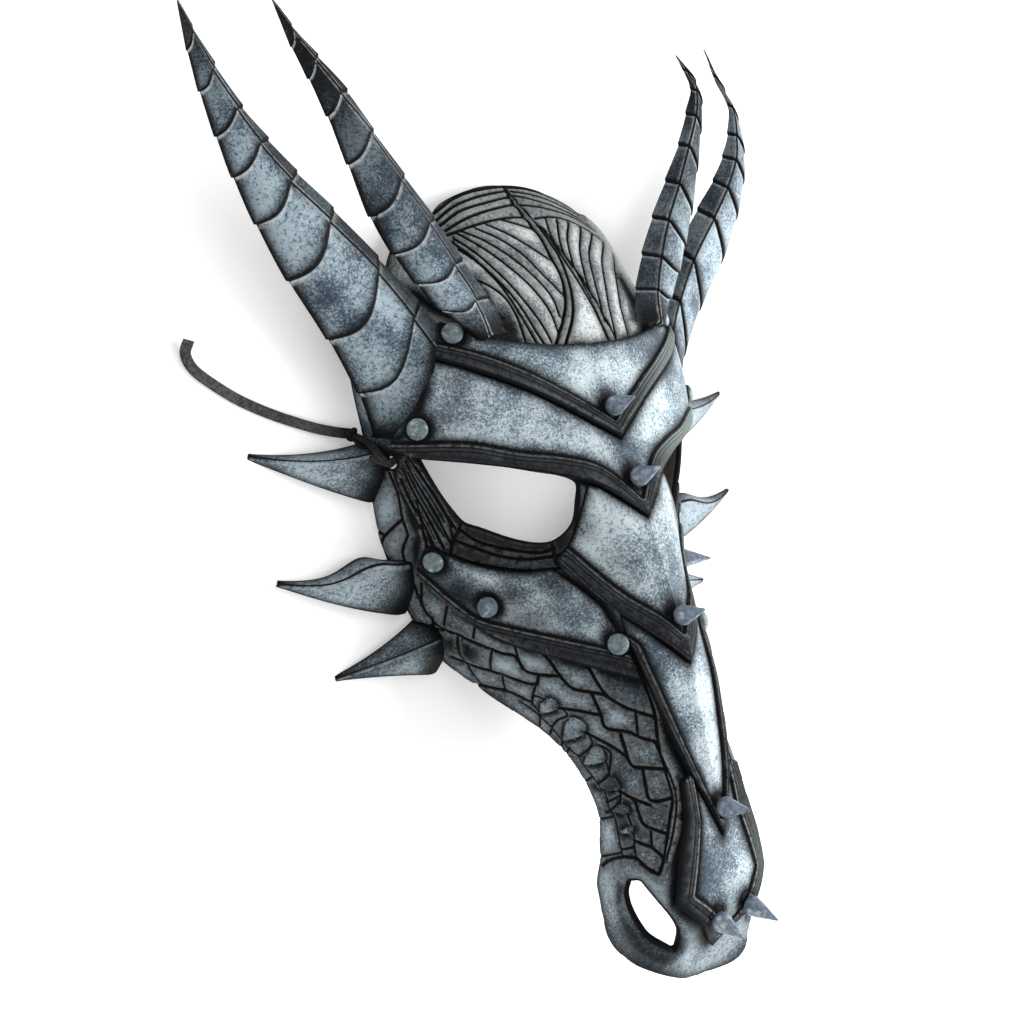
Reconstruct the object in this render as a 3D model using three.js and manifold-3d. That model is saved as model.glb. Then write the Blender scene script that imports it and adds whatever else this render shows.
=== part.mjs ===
// Leather dragon mask, lying on its back: a moulded half face with armour plates, four folded horns,
// a crown, domed rivets, cone studs and a tie lace. Millimetres, +Z up.
// Origin: on the surface it lies on, under the middle of the outline. +Y runs to the horn tips,
// +Z is the way the mask looks, and +X is its wearer's left.
import * as THREE from 'three';
import { mergeVertices } from 'three/addons/utils/BufferGeometryUtils.js';
import Module from 'manifold-3d';

const wasm = await Module();
wasm.setup();

// Leather thicknesses, and the heights of each layer over the reference skin
const FACE_LEATHER = 2.8;
const FACE_TOP = -1.2;
const GAP = 0.3;
const PLATE_BOTTOM = FACE_TOP + GAP;
const PLATE_TOP = 1.3;
const BAND_TOP = 2.5;
const BORDER_TOP = 2.1;
const CROWN_LEATHER = 2.4;
const HORN_LEATHER = 2.3;
const SEAM = 0.5;
const BAND_REVEAL = 3;

// Metal caps and cones
const RIVET_RADIUS = 4.5;
const RIVET_HEIGHT = 2.6;
const CONE_RADIUS = 4.3;
const CONE_HEIGHT = 15;
const STUD_SIDES = 10;
const STUD_GAP = 0.45;
const RIVET_PROFILE = [[0, 0], [RIVET_RADIUS, 0], [RIVET_RADIUS * 0.78, RIVET_HEIGHT * 0.68],
  [0, RIVET_HEIGHT]];
const CONE_PROFILE = [[0, 0], [CONE_RADIUS * 0.86, 0], [CONE_RADIUS, CONE_HEIGHT * 0.16],
  [CONE_RADIUS * 0.72, CONE_HEIGHT * 0.45], [0, CONE_HEIGHT]];

// Tie lace: a flat thong and the knot that holds it outside its temple hole
const LACE_WIDTH = 4.4;
const LACE_THICKNESS = 1.6;
const KNOT_RADIUS = 3.3;

// The reference skin. Each section is cut across the mask at the height `up`, and runs from the
// ridge to the rim of one side as [x, z]; the other side mirrors it.
const FACE_SECTIONS = [
  { up: 84, line: [[0, 46.5], [18, 45.5], [36, 43], [54, 36.5], [74, 22], [92, 3.5]] },
  { up: 60, line: [[0, 53.5], [19, 52.5], [39, 50], [59, 42.5], [79, 27], [92.5, 3.5]] },
  { up: 31, line: [[0, 60.5], [19, 59], [38, 55], [58, 47], [80, 30], [89.5, 3.5]] },
  { up: 9, line: [[0, 68.5], [16, 66], [33, 59], [54, 47.5], [77, 29], [89, 3.5]] },
  { up: -8, line: [[0, 73.5], [15, 71], [31, 61.5], [50, 48], [73, 27], [87.5, 3.5]] },
  { up: -20, line: [[0, 77.5], [14, 74.5], [29, 63.5], [47, 49], [69, 27], [84, 3.5]] },
  { up: -40, line: [[0, 83], [13, 79], [26, 67.5], [42, 52], [60, 32], [78, 4]] },
  { up: -60, line: [[0, 88], [11, 84.5], [23, 76], [38, 61], [54, 38], [68, 5]] },
  { up: -78, line: [[0, 91], [10, 88.5], [20, 84], [33, 72], [46, 50], [54, 15]] },
  { up: -100, line: [[0, 94.5], [9, 92.5], [18, 89.5], [28, 81], [38, 65], [41, 45]] },
  { up: -125, line: [[0, 97.5], [10, 96.5], [20, 95], [29, 88], [36.5, 74], [36, 61]] },
  { up: -146, line: [[0, 98.7], [10, 98.3], [20, 97], [29, 92], [37.5, 78], [36, 61]] },
  { up: -162, line: [[0, 99.5], [10, 99], [20, 97.5], [30, 92.5], [40, 78], [38, 59]] },
  { up: -176, line: [[0, 99], [9, 98.8], [18, 97.5], [27, 93], [38, 79], [39, 62]] },
  { up: -190, line: [[0, 88], [9, 88], [18, 88.5], [27, 86.5], [34.5, 77], [36, 64]] },
  { up: -212, line: [[0, 77], [8, 77.5], [16, 77.5], [24, 76], [30, 70], [33, 62]] },
];
const CROWN_SECTIONS = [
  { up: 140.5, line: [[0, 8], [4, 7.9], [8, 7.6], [12, 7.2], [15.5, 6.8], [18, 6]] },
  { up: 129, line: [[0, 17.5], [10, 17], [20, 15.6], [30, 13.3], [38, 10.5], [45, 6.5]] },
  { up: 118, line: [[0, 26], [14, 25.3], [28, 23], [41, 18.5], [52, 13], [61, 6]] },
  { up: 105, line: [[0, 33], [16, 32.5], [32, 29.5], [47, 24], [60, 15.5], [69, 5.5]] },
  { up: 84, line: [[0, 43.5], [18, 42.5], [35, 40], [51, 34], [65, 22], [74, 5]] },
  { up: 56, line: [[0, 50.5], [18, 49.5], [36, 47], [53, 41], [68, 27], [77, 5]] },
];
const SECTION_STEPS = 40;
const BLOCK_STEP = 14;

// Facets: columns from the ridge to each rim, and rows up the skin
const FACE_COLUMNS = 7;
const FACE_ROWS = [84, 68, 52, 38, 24, 10, -4, -18, -32, -46, -60, -74, -88, -103, -118, -133, -148, -162,
  -172, -180, -188, -199, -212];
const CROWN_COLUMNS = 6;
const CROWN_ROWS = [56, 68, 82, 96, 108, 119, 129, 136, 140.5];

// Seams between the plates, as leather patterns: [across from the ridge, up], from ridge to side
const BROW_TOP = [[0, 64.5], [25, 66], [53, 72], [67, 79.5]];
const BROW_SEAM = [[0, 23.5], [34, 45], [61, 58.5], [76, 65]];
const EYE_BROW = [[0, -10], [18, 5], [26, 9], [45, 15.5], [69, 21.5], [91, 26]];
const NOSE_SEAM = [[0, -71], [17, -53.5], [30, -41], [44, -22]];
const RIDGE_SEAM = [[0, -143], [8, -124], [12, -114], [16, -100], [20, -79], [24, -56]];

// Upper lines of the dark bands that edge the plates, and the snout plate's inner line
const BROW_BAND = [[0, 31], [6, 35.5], [32, 52], [56, 64.5], [72, 70.5]];
const EYE_BAND = [[0, -2.5], [15, 13], [31, 19.5], [48, 23.5], [68, 29.5], [100, 33]];
const NOSE_BAND = [[0, -59], [6, -52], [21, -38], [38, -17.5]];
const CHEEK_BAND = [[101, -18], [84, -41.5], [75, -46.5], [30, -61.5]];
const CHEEK_TOP = [[95, -11], [87, -15.5], [75, -21.5], [60, -25.5], [46, -26], [31, -42.5], [27.5, -52],
  [24.5, -60]];
const CHEEK_LOW = [[103, -24], [86, -46], [73, -55.5], [44, -66.5], [22.5, -75]];
const SNOUT_OUTER = [[17, -117], [19, -132], [24, -147], [28, -165], [0, -193.5]];
const SNOUT_INNER = [[9, -134], [17, -163], [0, -182]];

// Openings through the face
const EYE_HOLE = [[91, 26.5], [69, 21], [45, 15], [27, 9], [29, 1], [34, -9], [44, -15], [56, -13.5],
  [71, -6.5], [78, -2.5]];
const NOSTRIL = [[46, -155], [41, -155.5], [22, -188], [32, -183.5], [40, -178], [46, -169], [48, -160]];
const LACE_HOLE = [[108, 27], [103, 27], [102, 23], [107, 22]];

// What is trimmed from the skin: above the brow, and round the nose end
const FACE_CROWN_EDGE = [[0, 59], [25, 60.5], [53, 66], [72, 73], [130, 77]];
const NOSE_EDGE = [[0, -210.5], [8, -209.5], [20, -203.5], [30, -199], [44, -193.5], [53, -189],
  [60, -182], [65, -172], [74, -158]];

// Horn lines from tip to root on the wearer's left: outer edge, front ridge, inner edge of the strip
const OUTER_HORN = {
  tip: [147, 209.5, 1.2],
  edge: [[152, 186, 13], [152, 170, 18], [150, 153, 22], [146, 138, 23.5], [139, 121, 23.5], [127, 100, 21.5],
    [110, 77, 18], [96, 55, 14], [89, 38, 12]],
  ridge: [[147.5, 195, 11.5], [147, 178, 22], [142, 163, 27], [136, 150, 30], [126, 136, 31.5],
    [112, 121, 33], [93, 101, 34], [79, 82, 35], [71, 69, 36]],
  strip: [[146.5, 196, 10], [145, 180, 20], [138, 164, 24], [130, 152, 26], [120, 140, 27], [106, 126, 27.5],
    [88, 107, 28], [71, 88, 29], [61, 74, 31]],
};
const INNER_HORN = {
  tip: [113.5, 203.5, 16],
  edge: [[115, 186, 26], [112, 174, 30], [107, 160, 32], [101, 142, 33], [94, 122, 33.5], [86, 107, 35],
    [78, 95, 37], [70, 84, 38], [64, 76, 40]],
  ridge: [[112, 193, 24.5], [109, 182, 32], [102, 169, 36], [92, 154, 38.5], [81, 136, 40], [70, 119, 41],
    [61, 102, 42.5], [54, 87, 44.5], [50, 76, 47]],
  strip: [[110.5, 194, 22.5], [106, 183, 30], [97, 170, 33.5], [88, 155, 35], [76, 138, 35.5], [64, 121, 36],
    [53, 104, 37.5], [44, 88, 40], [39, 76, 44]],
};
const SCALE_STEP = 1;
const SCALE_EDGE = 0.08;
const SCALE_SAG = 0.18;
const FACE_BULGE = 0.16;
const HORN_POINT = 0.12;

// Leather spikes of the rim, cut and folded from the face's own leather: root on the skin, bend, tip
const SPIKES = [
  { root: [112, 21.5], width: 25, height: 9, bend: [113, 24, 9], tip: [141, 34.5, -0.8] },
  { root: [110, -27], width: 25, height: 9, bend: [108, -25.5, 9.5], tip: [137, -16.5, 2.4] },
  { root: [109, -56], width: 27, height: 9, bend: [88, -57.5, 9], tip: [114, -60.5, -0.8] },
];
const SPIKE_STEPS = 5;
const SPIKE_TAPER = 1.15;
const SPIKE_TIP = 1.3;
const SPIKE_SINK = 0.35;
const FLANK_RISE = 0.62;

// Studs by pattern place on the left side, or on the ridge
const RIVETS = { brow_upper: [64, 73.5], brow_lower: [87, 37.3], cheek_outer: [93.5, -17.5],
  cheek_inner: [28, -59.5] };
const RIDGE_CONES = { brow: 36.5, eye: 6, nose: -52, ridge: -131 };
const SIDE_CONES = { snout: [9.5, -175], cheek: [76, -38.4] };
const ON_BORDER = ['snout', 'cheek_inner'];

// The lace lies on the surface beside the right temple: its route from the knot outward
const LACE_ROUTE = [[-98.2, 39.1, 2.8], [-103, 40.4, 1.6], [-112, 43.2, 1.1], [-128, 49.5, 1], [-142, 56.5, 1],
  [-153, 64, 1], [-160, 70, 1.2], [-163, 76, 2.2], [-161.5, 81, 3.6]];
const KNOT_PLACE = [-94.6, 38.2, 4.2];
const LACE_STEPS = 26;

const COLOURS = {
  plate: { color: 0x9aa9b5, roughness: 0.5, metalness: 0.25 },
  face: { color: 0x66717a, roughness: 0.55, metalness: 0.15 },
  crown: { color: 0x5a6264, roughness: 0.6, metalness: 0.1 },
  horn: { color: 0x8796a3, roughness: 0.5, metalness: 0.2 },
  stud: { color: 0x6d7884, roughness: 0.38, metalness: 0.6 },
  rivet: { color: 0x99a4a8, roughness: 0.35, metalness: 0.6 },
  lace: { color: 0x2c2d2f, roughness: 0.8, metalness: 0 },
};

const vec = (p, side = 1) => new THREE.Vector3(p[0] * side, p[1], p[2]);

// Cubic through `values` at `places`, with each slope taken from the neighbours
function hermite(places, values, place) {
  const last = places.length - 1;
  let i = 0;
  while (i < last - 1 && place > places[i + 1]) i += 1;
  const span = places[i + 1] - places[i];
  const t = THREE.MathUtils.clamp((place - places[i]) / span, 0, 1);
  const slope = (k) => {
    const a = Math.max(k - 1, 0);
    const b = Math.min(k + 1, last);
    return (values[b] - values[a]) / (places[b] - places[a]);
  };
  const t2 = t * t;
  const t3 = t2 * t;
  return (2 * t3 - 3 * t2 + 1) * values[i] + (t3 - 2 * t2 + t) * slope(i) * span
    + (3 * t2 - 2 * t3) * values[i + 1] + (t3 - t2) * slope(i + 1) * span;
}

// A curved leather skin, addressed by the pattern place [across, up] and a lift along its normal
class Skin {
  constructor(sections) {
    this.sections = [...sections].sort((a, b) => a.up - b.up);
    this.ups = this.sections.map((s) => s.up);
    this.cache = new Map();
  }

  // One section's curve from ridge to rim, with the length run along it
  curve(up) {
    if (this.cache.has(up)) return this.cache.get(up);
    const clamped = THREE.MathUtils.clamp(up, this.ups[0], this.ups.at(-1));
    const columns = this.sections[0].line.map((_, c) => c);
    const x = columns.map((c) => hermite(this.ups, this.sections.map((s) => s.line[c][0]), clamped));
    const z = columns.map((c) => hermite(this.ups, this.sections.map((s) => s.line[c][1]), clamped));
    const points = [];
    for (let i = 0; i <= SECTION_STEPS; i += 1) {
      const place = (i / SECTION_STEPS) * (columns.length - 1);
      points.push([hermite(columns, x, place), hermite(columns, z, place)]);
    }
    const run = [0];
    for (let i = 1; i < points.length; i += 1) {
      run.push(run[i - 1] + Math.hypot(points[i][0] - points[i - 1][0], points[i][1] - points[i - 1][1]));
    }
    this.cache.set(up, { points, run });
    return this.cache.get(up);
  }

  girth(up) {
    return this.curve(up).run.at(-1);
  }

  // A place past the rim runs straight on
  at(across, up) {
    const { points, run } = this.curve(up);
    const length = Math.abs(across);
    let i = 0;
    while (i < run.length - 2 && length > run[i + 1]) i += 1;
    const t = (length - run[i]) / (run[i + 1] - run[i]);
    const x = points[i][0] + (points[i + 1][0] - points[i][0]) * t;
    const z = points[i][1] + (points[i + 1][1] - points[i][1]) * t;
    return new THREE.Vector3(across < 0 ? -x : x, up, z);
  }

  normal(across, up) {
    const reach = 1.2;
    const east = this.at(across + reach, up).sub(this.at(across - reach, up));
    const north = this.at(across, up + reach).sub(this.at(across, up - reach));
    return east.cross(north).normalize();
  }

  point(across, up, lift) {
    return this.at(across, up).addScaledVector(this.normal(across, up), lift);
  }
}

// Geometry from points and triangles
function geometryOf(points, triangles) {
  const geometry = new THREE.BufferGeometry();
  const positions = points.flatMap((p) => [p.x, p.y, p.z]);
  geometry.setAttribute('position', new THREE.Float32BufferAttribute(positions, 3));
  geometry.setIndex(triangles.flat());
  return geometry;
}

function solidOf(geometry) {
  const bare = geometry.clone();
  bare.deleteAttribute('normal');
  bare.deleteAttribute('uv');
  const merged = mergeVertices(bare, 1e-4);
  const vertProperties = new Float32Array(merged.attributes.position.array);
  const triVerts = new Uint32Array(merged.index.array);
  return new wasm.Manifold(new wasm.Mesh({ numProp: 3, vertProperties, triVerts }));
}

function geometryOfSolid(solid) {
  const mesh = solid.getMesh();
  const positions = [];
  for (let v = 0; v < mesh.vertProperties.length; v += mesh.numProp) {
    positions.push(...mesh.vertProperties.slice(v, v + 3));
  }
  const geometry = new THREE.BufferGeometry();
  geometry.setAttribute('position', new THREE.Float32BufferAttribute(positions, 3));
  geometry.setIndex([...mesh.triVerts]);
  return geometry;
}

// The whole skin as one closed sheet between two lifts, faceted in columns and rows
function sheet(skin, columns, rows, low, high) {
  const wide = 2 * columns + 1;
  const points = [];
  for (const lift of [low, high]) {
    for (const up of rows) {
      for (let c = -columns; c <= columns; c += 1) {
        points.push(skin.point((skin.girth(up) * c) / columns, up, lift));
      }
    }
  }
  const layer = wide * rows.length;
  const id = (k, r, c) => k * layer + r * wide + c;
  const upward = rows[1] > rows[0];
  const triangles = [];
  const quad = (a, b, c, d) => triangles.push(...(upward ? [[a, b, c], [a, c, d]] : [[a, c, b], [a, d, c]]));
  for (let r = 0; r < rows.length - 1; r += 1) {
    for (let c = 0; c < wide - 1; c += 1) {
      const top = [id(1, r, c), id(1, r, c + 1), id(1, r + 1, c + 1), id(1, r + 1, c)];
      const under = [id(0, r, c), id(0, r + 1, c), id(0, r + 1, c + 1), id(0, r, c + 1)];
      if (c < columns) {
        quad(...top);
        quad(...under);
      } else {
        quad(...top.slice(1), top[0]);
        quad(...under.slice(1), under[0]);
      }
    }
    quad(id(0, r, 0), id(1, r, 0), id(1, r + 1, 0), id(0, r + 1, 0));
    quad(id(1, r, wide - 1), id(0, r, wide - 1), id(0, r + 1, wide - 1), id(1, r + 1, wide - 1));
  }
  const end = rows.length - 1;
  for (let c = 0; c < wide - 1; c += 1) {
    quad(id(0, 0, c), id(0, 0, c + 1), id(1, 0, c + 1), id(1, 0, c));
    quad(id(1, end, c), id(1, end, c + 1), id(0, end, c + 1), id(0, end, c));
  }
  return solidOf(geometryOf(points, triangles));
}

// Halves every edge longer than `limit` until none is left, so that a flat pattern can follow the skin
function refine(points, triangles, limit) {
  let current = triangles;
  for (let pass = 0; pass < 6; pass += 1) {
    const middles = new Map();
    const middle = (a, b) => {
      if (points[a].distanceTo(points[b]) <= limit) return -1;
      const key = a < b ? `${a},${b}` : `${b},${a}`;
      if (!middles.has(key)) {
        points.push(points[a].clone().add(points[b]).multiplyScalar(0.5));
        middles.set(key, points.length - 1);
      }
      return middles.get(key);
    };
    const next = [];
    for (const [a, b, c] of current) {
      const ring = [];
      [[a, b], [b, c], [c, a]].forEach(([p, q]) => {
        const m = middle(p, q);
        ring.push(p);
        if (m >= 0) ring.push(m);
      });
      const start = ring.findIndex((v) => v !== a && v !== b && v !== c);
      const turned = start < 0 ? ring : [...ring.slice(start), ...ring.slice(0, start)];
      for (let i = 1; i < turned.length - 1; i += 1) next.push([turned[0], turned[i], turned[i + 1]]);
    }
    if (!middles.size) return current;
    current = next;
  }
  return current;
}

// A closed block over a pattern outline, between two lifts off the skin, used to cut a sheet to shape
function block(skin, outline, low, high) {
  let flat = outline.map(([a, u]) => new THREE.Vector2(a, u));
  if (THREE.ShapeUtils.area(flat) < 0) flat = flat.reverse();
  const ring = [];
  flat.forEach((p, i) => {
    const q = flat[(i + 1) % flat.length];
    const steps = Math.max(1, Math.ceil(p.distanceTo(q) / BLOCK_STEP));
    for (let s = 0; s < steps; s += 1) ring.push(p.clone().lerp(q, s / steps));
  });
  const points = ring.map((p) => p.clone());
  const cap = refine(points, THREE.ShapeUtils.triangulateShape(ring, []), BLOCK_STEP);
  const edges = new Map();
  for (const [a, b, c] of cap) {
    for (const [p, q] of [[a, b], [b, c], [c, a]]) {
      if (edges.has(`${q},${p}`)) edges.delete(`${q},${p}`);
      else edges.set(`${p},${q}`, [p, q]);
    }
  }
  const count = points.length;
  const placed = [low, high].flatMap((lift) => points.map((p) => skin.point(p.x, p.y, lift)));
  const triangles = [];
  for (const [a, b, c] of cap) {
    triangles.push([a + count, b + count, c + count], [a, c, b]);
  }
  for (const [p, q] of edges.values()) {
    const [a, b] = [points[p], points[q]];
    if (a.x < b.x || (a.x === b.x && a.y < b.y)) triangles.push([p, q, q + count], [p, q + count, p + count]);
    else triangles.push([q, p + count, p], [q, q + count, p + count]);
  }
  return solidOf(geometryOf(placed, triangles));
}

const mirrored = (line) => line.map(([a, u]) => [-a, u]);
const lowered = (line, by = SEAM) => line.map(([a, u]) => [a, u - by]);

// A closed outline on both sides of the ridge, from lines that start or end on it
function bothSides(half) {
  return [...half, ...mirrored(half).reverse().filter(([a]) => a !== 0)];
}

const face = new Skin(FACE_SECTIONS);
const crown = new Skin(CROWN_SECTIONS);
const faceSheet = (low, high) => sheet(face, FACE_COLUMNS, FACE_ROWS, low, high);
const faceBlock = (outline, low = -6, high = 5) => block(face, outline, low, high);

const mask = new THREE.Group();
const reserved = [];

function addMesh(name, geometry, finish) {
  const flat = geometry.index ? geometry.toNonIndexed() : geometry;
  flat.computeVertexNormals();
  const material = new THREE.MeshStandardMaterial({ ...COLOURS[finish], flatShading: true });
  const mesh = new THREE.Mesh(flat, material);
  mesh.name = name;
  mask.add(mesh);
  return mesh;
}

const plateSheet = faceSheet(PLATE_BOTTOM, PLATE_TOP);
const bandSheet = faceSheet(PLATE_BOTTOM + GAP, BAND_TOP);
const borderSheet = faceSheet(PLATE_BOTTOM + GAP, BORDER_TOP);

// A plate cut from the plate leather, with a raised band along part of it
function addPlate(name, outline, band, bandLeather = bandSheet) {
  const shape = faceBlock(outline);
  let solid = plateSheet.intersect(shape);
  if (band) solid = solid.add(bandLeather.intersect(shape).intersect(faceBlock(band)));
  reserved.push(shape);
  addMesh(name, geometryOfSolid(solid), 'plate');
}

// The armour plates from the brow down, each tucked against the seam of the one above
addPlate('brow_plate_upper', bothSides([...BROW_TOP, [75.5, 71], ...[...BROW_SEAM].reverse()]),
  bothSides([...BROW_BAND, [90, 72], [90, 60], ...[...lowered(BROW_SEAM, BAND_REVEAL)].reverse()]));
addPlate('brow_plate_lower', bothSides([...lowered(BROW_SEAM), [81, 55], [87, 45.5], [99, 35.5], [102, 32],
  ...[...EYE_BROW].reverse()]),
bothSides([...EYE_BAND, [110, 34], [110, 20], ...[...lowered(EYE_BROW, BAND_REVEAL)].reverse()]));
addPlate('nose_plate', bothSides([...lowered(EYE_BROW.slice(0, 2)), [23, 6.5], [33, -11], [38, -17.5],
  ...[...NOSE_SEAM].reverse()]),
bothSides([...NOSE_BAND, [60, -17], [60, -24], ...[...lowered(NOSE_SEAM, BAND_REVEAL)].reverse()]));
addPlate('ridge_plate', bothSides([...lowered(NOSE_SEAM.slice(0, 2)), [24, -47.5],
  ...[...RIDGE_SEAM].reverse()]),
  bothSides([[0, -136], [5, -124.5], [8.5, -113], [12, -99], [16, -80], [19.5, -60], [30, -50], [30, -124],
    [0, -150]]));
addPlate('snout_plate', bothSides([...lowered(RIDGE_SEAM.slice(0, 3)), ...SNOUT_OUTER]),
  [...bothSides([[9, -105], ...SNOUT_INNER]), [-35, -105], [-35, -170], [0, -200], [35, -170], [35, -105]],
  borderSheet);

// Cheek plates with the dark band below them
const cheek = [...CHEEK_TOP, ...[...CHEEK_LOW].reverse(), [101, -18]];
const cheekStrip = [...CHEEK_BAND, [10, -66], [10, -90],
  ...lowered([...CHEEK_LOW].reverse(), BAND_REVEAL), [112, -24]];
for (const [side, turn] of [['left', (line) => line], ['right', mirrored]]) {
  addPlate(`cheek_plate_${side}`, turn(cheek), turn(cheekStrip), borderSheet);
}

// A folded, open-backed leather channel through rings of outline points, from tip to root
function channel(rings) {
  const size = rings[0].length;
  const points = rings.flat();
  const triangles = [];
  for (let r = 0; r < rings.length - 1; r += 1) {
    for (let k = 0; k < size; k += 1) {
      const next = (k + 1) % size;
      const [a, b, c, d] = [r * size + k, r * size + next, (r + 1) * size + next, (r + 1) * size + k];
      triangles.push([a, b, c], [a, c, d]);
    }
  }
  const half = size / 2;
  const last = (rings.length - 1) * size;
  for (let k = 0; k < half - 1; k += 1) {
    const [a, b, c, d] = [k, k + 1, size - 2 - k, size - 1 - k];
    triangles.push([a, c, b], [a, d, c]);
    triangles.push([last + a, last + b, last + c], [last + a, last + c, last + d]);
  }
  const solid = solidOf(geometryOf(points, triangles));
  return solid.volume() < 0 ? solidOf(geometryOf(points, triangles.map(([a, b, c]) => [a, c, b]))) : solid;
}

// One ring of a horn: edge, bulged face, ridge and strip, then the same line inside the leather.
// The face sags toward the root between edge and ridge, as the scales do.
function hornRing([edge, ridge, strip], rootward, leather, lift) {
  const centre = edge.clone().add(strip).multiplyScalar(0.5);
  const width = ridge.distanceTo(edge);
  const along = ridge.clone().sub(edge).normalize();
  const toRidge = ridge.clone().sub(centre);
  const out = toRidge.clone().addScaledVector(along, -toRidge.dot(along)).normalize();
  const bowed = (t) => edge.clone().lerp(ridge, t)
    .addScaledVector(out, Math.sin(Math.PI * t) * width * FACE_BULGE)
    .addScaledVector(rootward, Math.sin(Math.PI * t) * width * SCALE_SAG);
  const line = [edge.clone(), bowed(0.25), bowed(0.5), bowed(0.75), ridge.clone(), strip.clone()];
  const outer = line.map((p) => p.clone().addScaledVector(out, lift));
  const inner = line.map((p, i) => {
    const end = i === 0 || i === line.length - 1;
    const toCentre = centre.clone().sub(p);
    const depth = Math.min(leather, toCentre.length() * 0.6) * (end ? 0.9 : 1);
    return p.clone().addScaledVector(toCentre.normalize(), depth).addScaledVector(out, end ? -0.4 : 0);
  });
  return [...outer, ...inner.reverse()];
}

// A horn's scales each overlap the next one toward the root with a small step
function horn({ tip, edge, ridge, strip }, side) {
  const lines = [edge, ridge, strip].map((line) => line.map((p) => vec(p, side)));
  const ringAt = (place) => {
    const k = Math.min(Math.floor(place), edge.length - 2);
    return lines.map((line) => line[k].clone().lerp(line[k + 1], place - k));
  };
  const rootwardAt = (place) => {
    const [a, b] = [ringAt(Math.max(place - 0.5, 0)), ringAt(Math.min(place + 0.5, edge.length - 1))];
    return b[0].add(b[1]).sub(a[0]).sub(a[1]).normalize();
  };
  const start = ringAt(0).map((p) => vec(tip, side).lerp(p, HORN_POINT));
  const rings = [hornRing(start, rootwardAt(0), HORN_LEATHER / 2, 0)];
  for (let k = 0; k < edge.length; k += 1) {
    rings.push(hornRing(ringAt(k), rootwardAt(k), HORN_LEATHER, SCALE_STEP / 2));
    if (k < edge.length - 1) {
      rings.push(hornRing(ringAt(k + SCALE_EDGE), rootwardAt(k), HORN_LEATHER, -SCALE_STEP / 2));
    }
  }
  return channel(rings);
}

// A spike: a folded ridge over two flanks, hollow behind, tapering to a slender solid tip
function spike({ root, width, height, bend, tip }, side) {
  const rings = [];
  const foot = face.point(root[0] * side, root[1], FACE_TOP - FACE_LEATHER / 2);
  const curve = new THREE.QuadraticBezierCurve3(foot, vec(bend, side), vec(tip, side));
  for (let s = 0; s <= SPIKE_STEPS; s += 1) {
    const t = s / SPIKE_STEPS;
    const centre = curve.getPoint(t);
    const heading = curve.getTangent(t);
    const wide = new THREE.Vector3(0, 0, 1).cross(heading).normalize();
    const up = heading.clone().cross(wide).normalize();
    const half = (width / 2) * (1 - t) ** SPIKE_TAPER + SPIKE_TIP;
    const tall = height * (1 - t) + SPIKE_TIP;
    const hollow = s < SPIKE_STEPS - 1 ? tall - Math.min(FACE_LEATHER, tall * 0.7) : 0;
    const inside = Math.max(hollow - tall * (1 - FLANK_RISE), 0);
    const corner = (w, u) => centre.clone().addScaledVector(wide, half * w).addScaledVector(up, u);
    const lift = s === SPIKE_STEPS ? 0 : -tall * SPIKE_SINK;
    rings.push([corner(-1, lift), corner(-0.45, lift + tall * FLANK_RISE), corner(0, lift + tall),
      corner(0.45, lift + tall * FLANK_RISE), corner(1, lift), corner(0.75, lift - 0.1),
      corner(0.3, lift + inside), corner(0, lift + hollow), corner(-0.3, lift + inside),
      corner(-0.75, lift - 0.1)]);
  }
  return channel(rings);
}

// The moulded face: trimmed at brow and nose, pierced for eyes, nostrils and laces, with its spikes,
// whose lowest tips are pressed flat where the mask lies on them
let faceSolid = faceSheet(FACE_TOP - FACE_LEATHER, FACE_TOP);
const aboveBrow = bothSides([...FACE_CROWN_EDGE, [130, 96], [0, 96]]);
const belowNose = bothSides([...NOSE_EDGE, [110, -157], [110, -232], [0, -232]]);
for (const outline of [aboveBrow, belowNose]) faceSolid = faceSolid.subtract(faceBlock(outline, -14, 14));
for (const hole of [EYE_HOLE, NOSTRIL, LACE_HOLE]) {
  for (const outline of [hole, mirrored(hole)]) faceSolid = faceSolid.subtract(faceBlock(outline));
}
for (const side of [1, -1]) {
  for (const shape of SPIKES) faceSolid = faceSolid.add(spike(shape, side));
}
const ground = new THREE.BoxGeometry(400, 400, 20).translate(0, 0, -10);
faceSolid = faceSolid.subtract(solidOf(ground));
addMesh('face_shell', geometryOfSolid(faceSolid), 'face');

// The crown rises from under the brow plate
const crownSheet = (low, high) => sheet(crown, CROWN_COLUMNS, CROWN_ROWS, low, high);
const crownFoot = bothSides([[0, 61], [25, 62.5], [52, 68.5], [70, 76], [120, 80], [120, 40], [0, 40]]);
const crownSolid = crownSheet(-CROWN_LEATHER, 0).subtract(block(crown, crownFoot, -12, 12));
addMesh('crown', geometryOfSolid(crownSolid), 'crown');

// Horns, cut where they stand on the face, the crown and the plates
const faceRoom = faceSheet(-40, FACE_TOP + GAP);
const crownRoom = crownSheet(-30, GAP);
const plateRoom = faceSheet(-20, BAND_TOP + GAP);
function seated(solid) {
  let cut = solid.subtract(faceRoom).subtract(crownRoom);
  for (const shape of reserved) cut = cut.subtract(plateRoom.intersect(shape));
  const parts = cut.decompose();
  return parts.sort((a, b) => b.volume() - a.volume())[0];
}
for (const [side, sign] of [['left', 1], ['right', -1]]) {
  addMesh(`horn_outer_${side}`, geometryOfSolid(seated(horn(OUTER_HORN, sign))), 'horn');
  addMesh(`horn_inner_${side}`, geometryOfSolid(seated(horn(INNER_HORN, sign))), 'horn');
}

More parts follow.
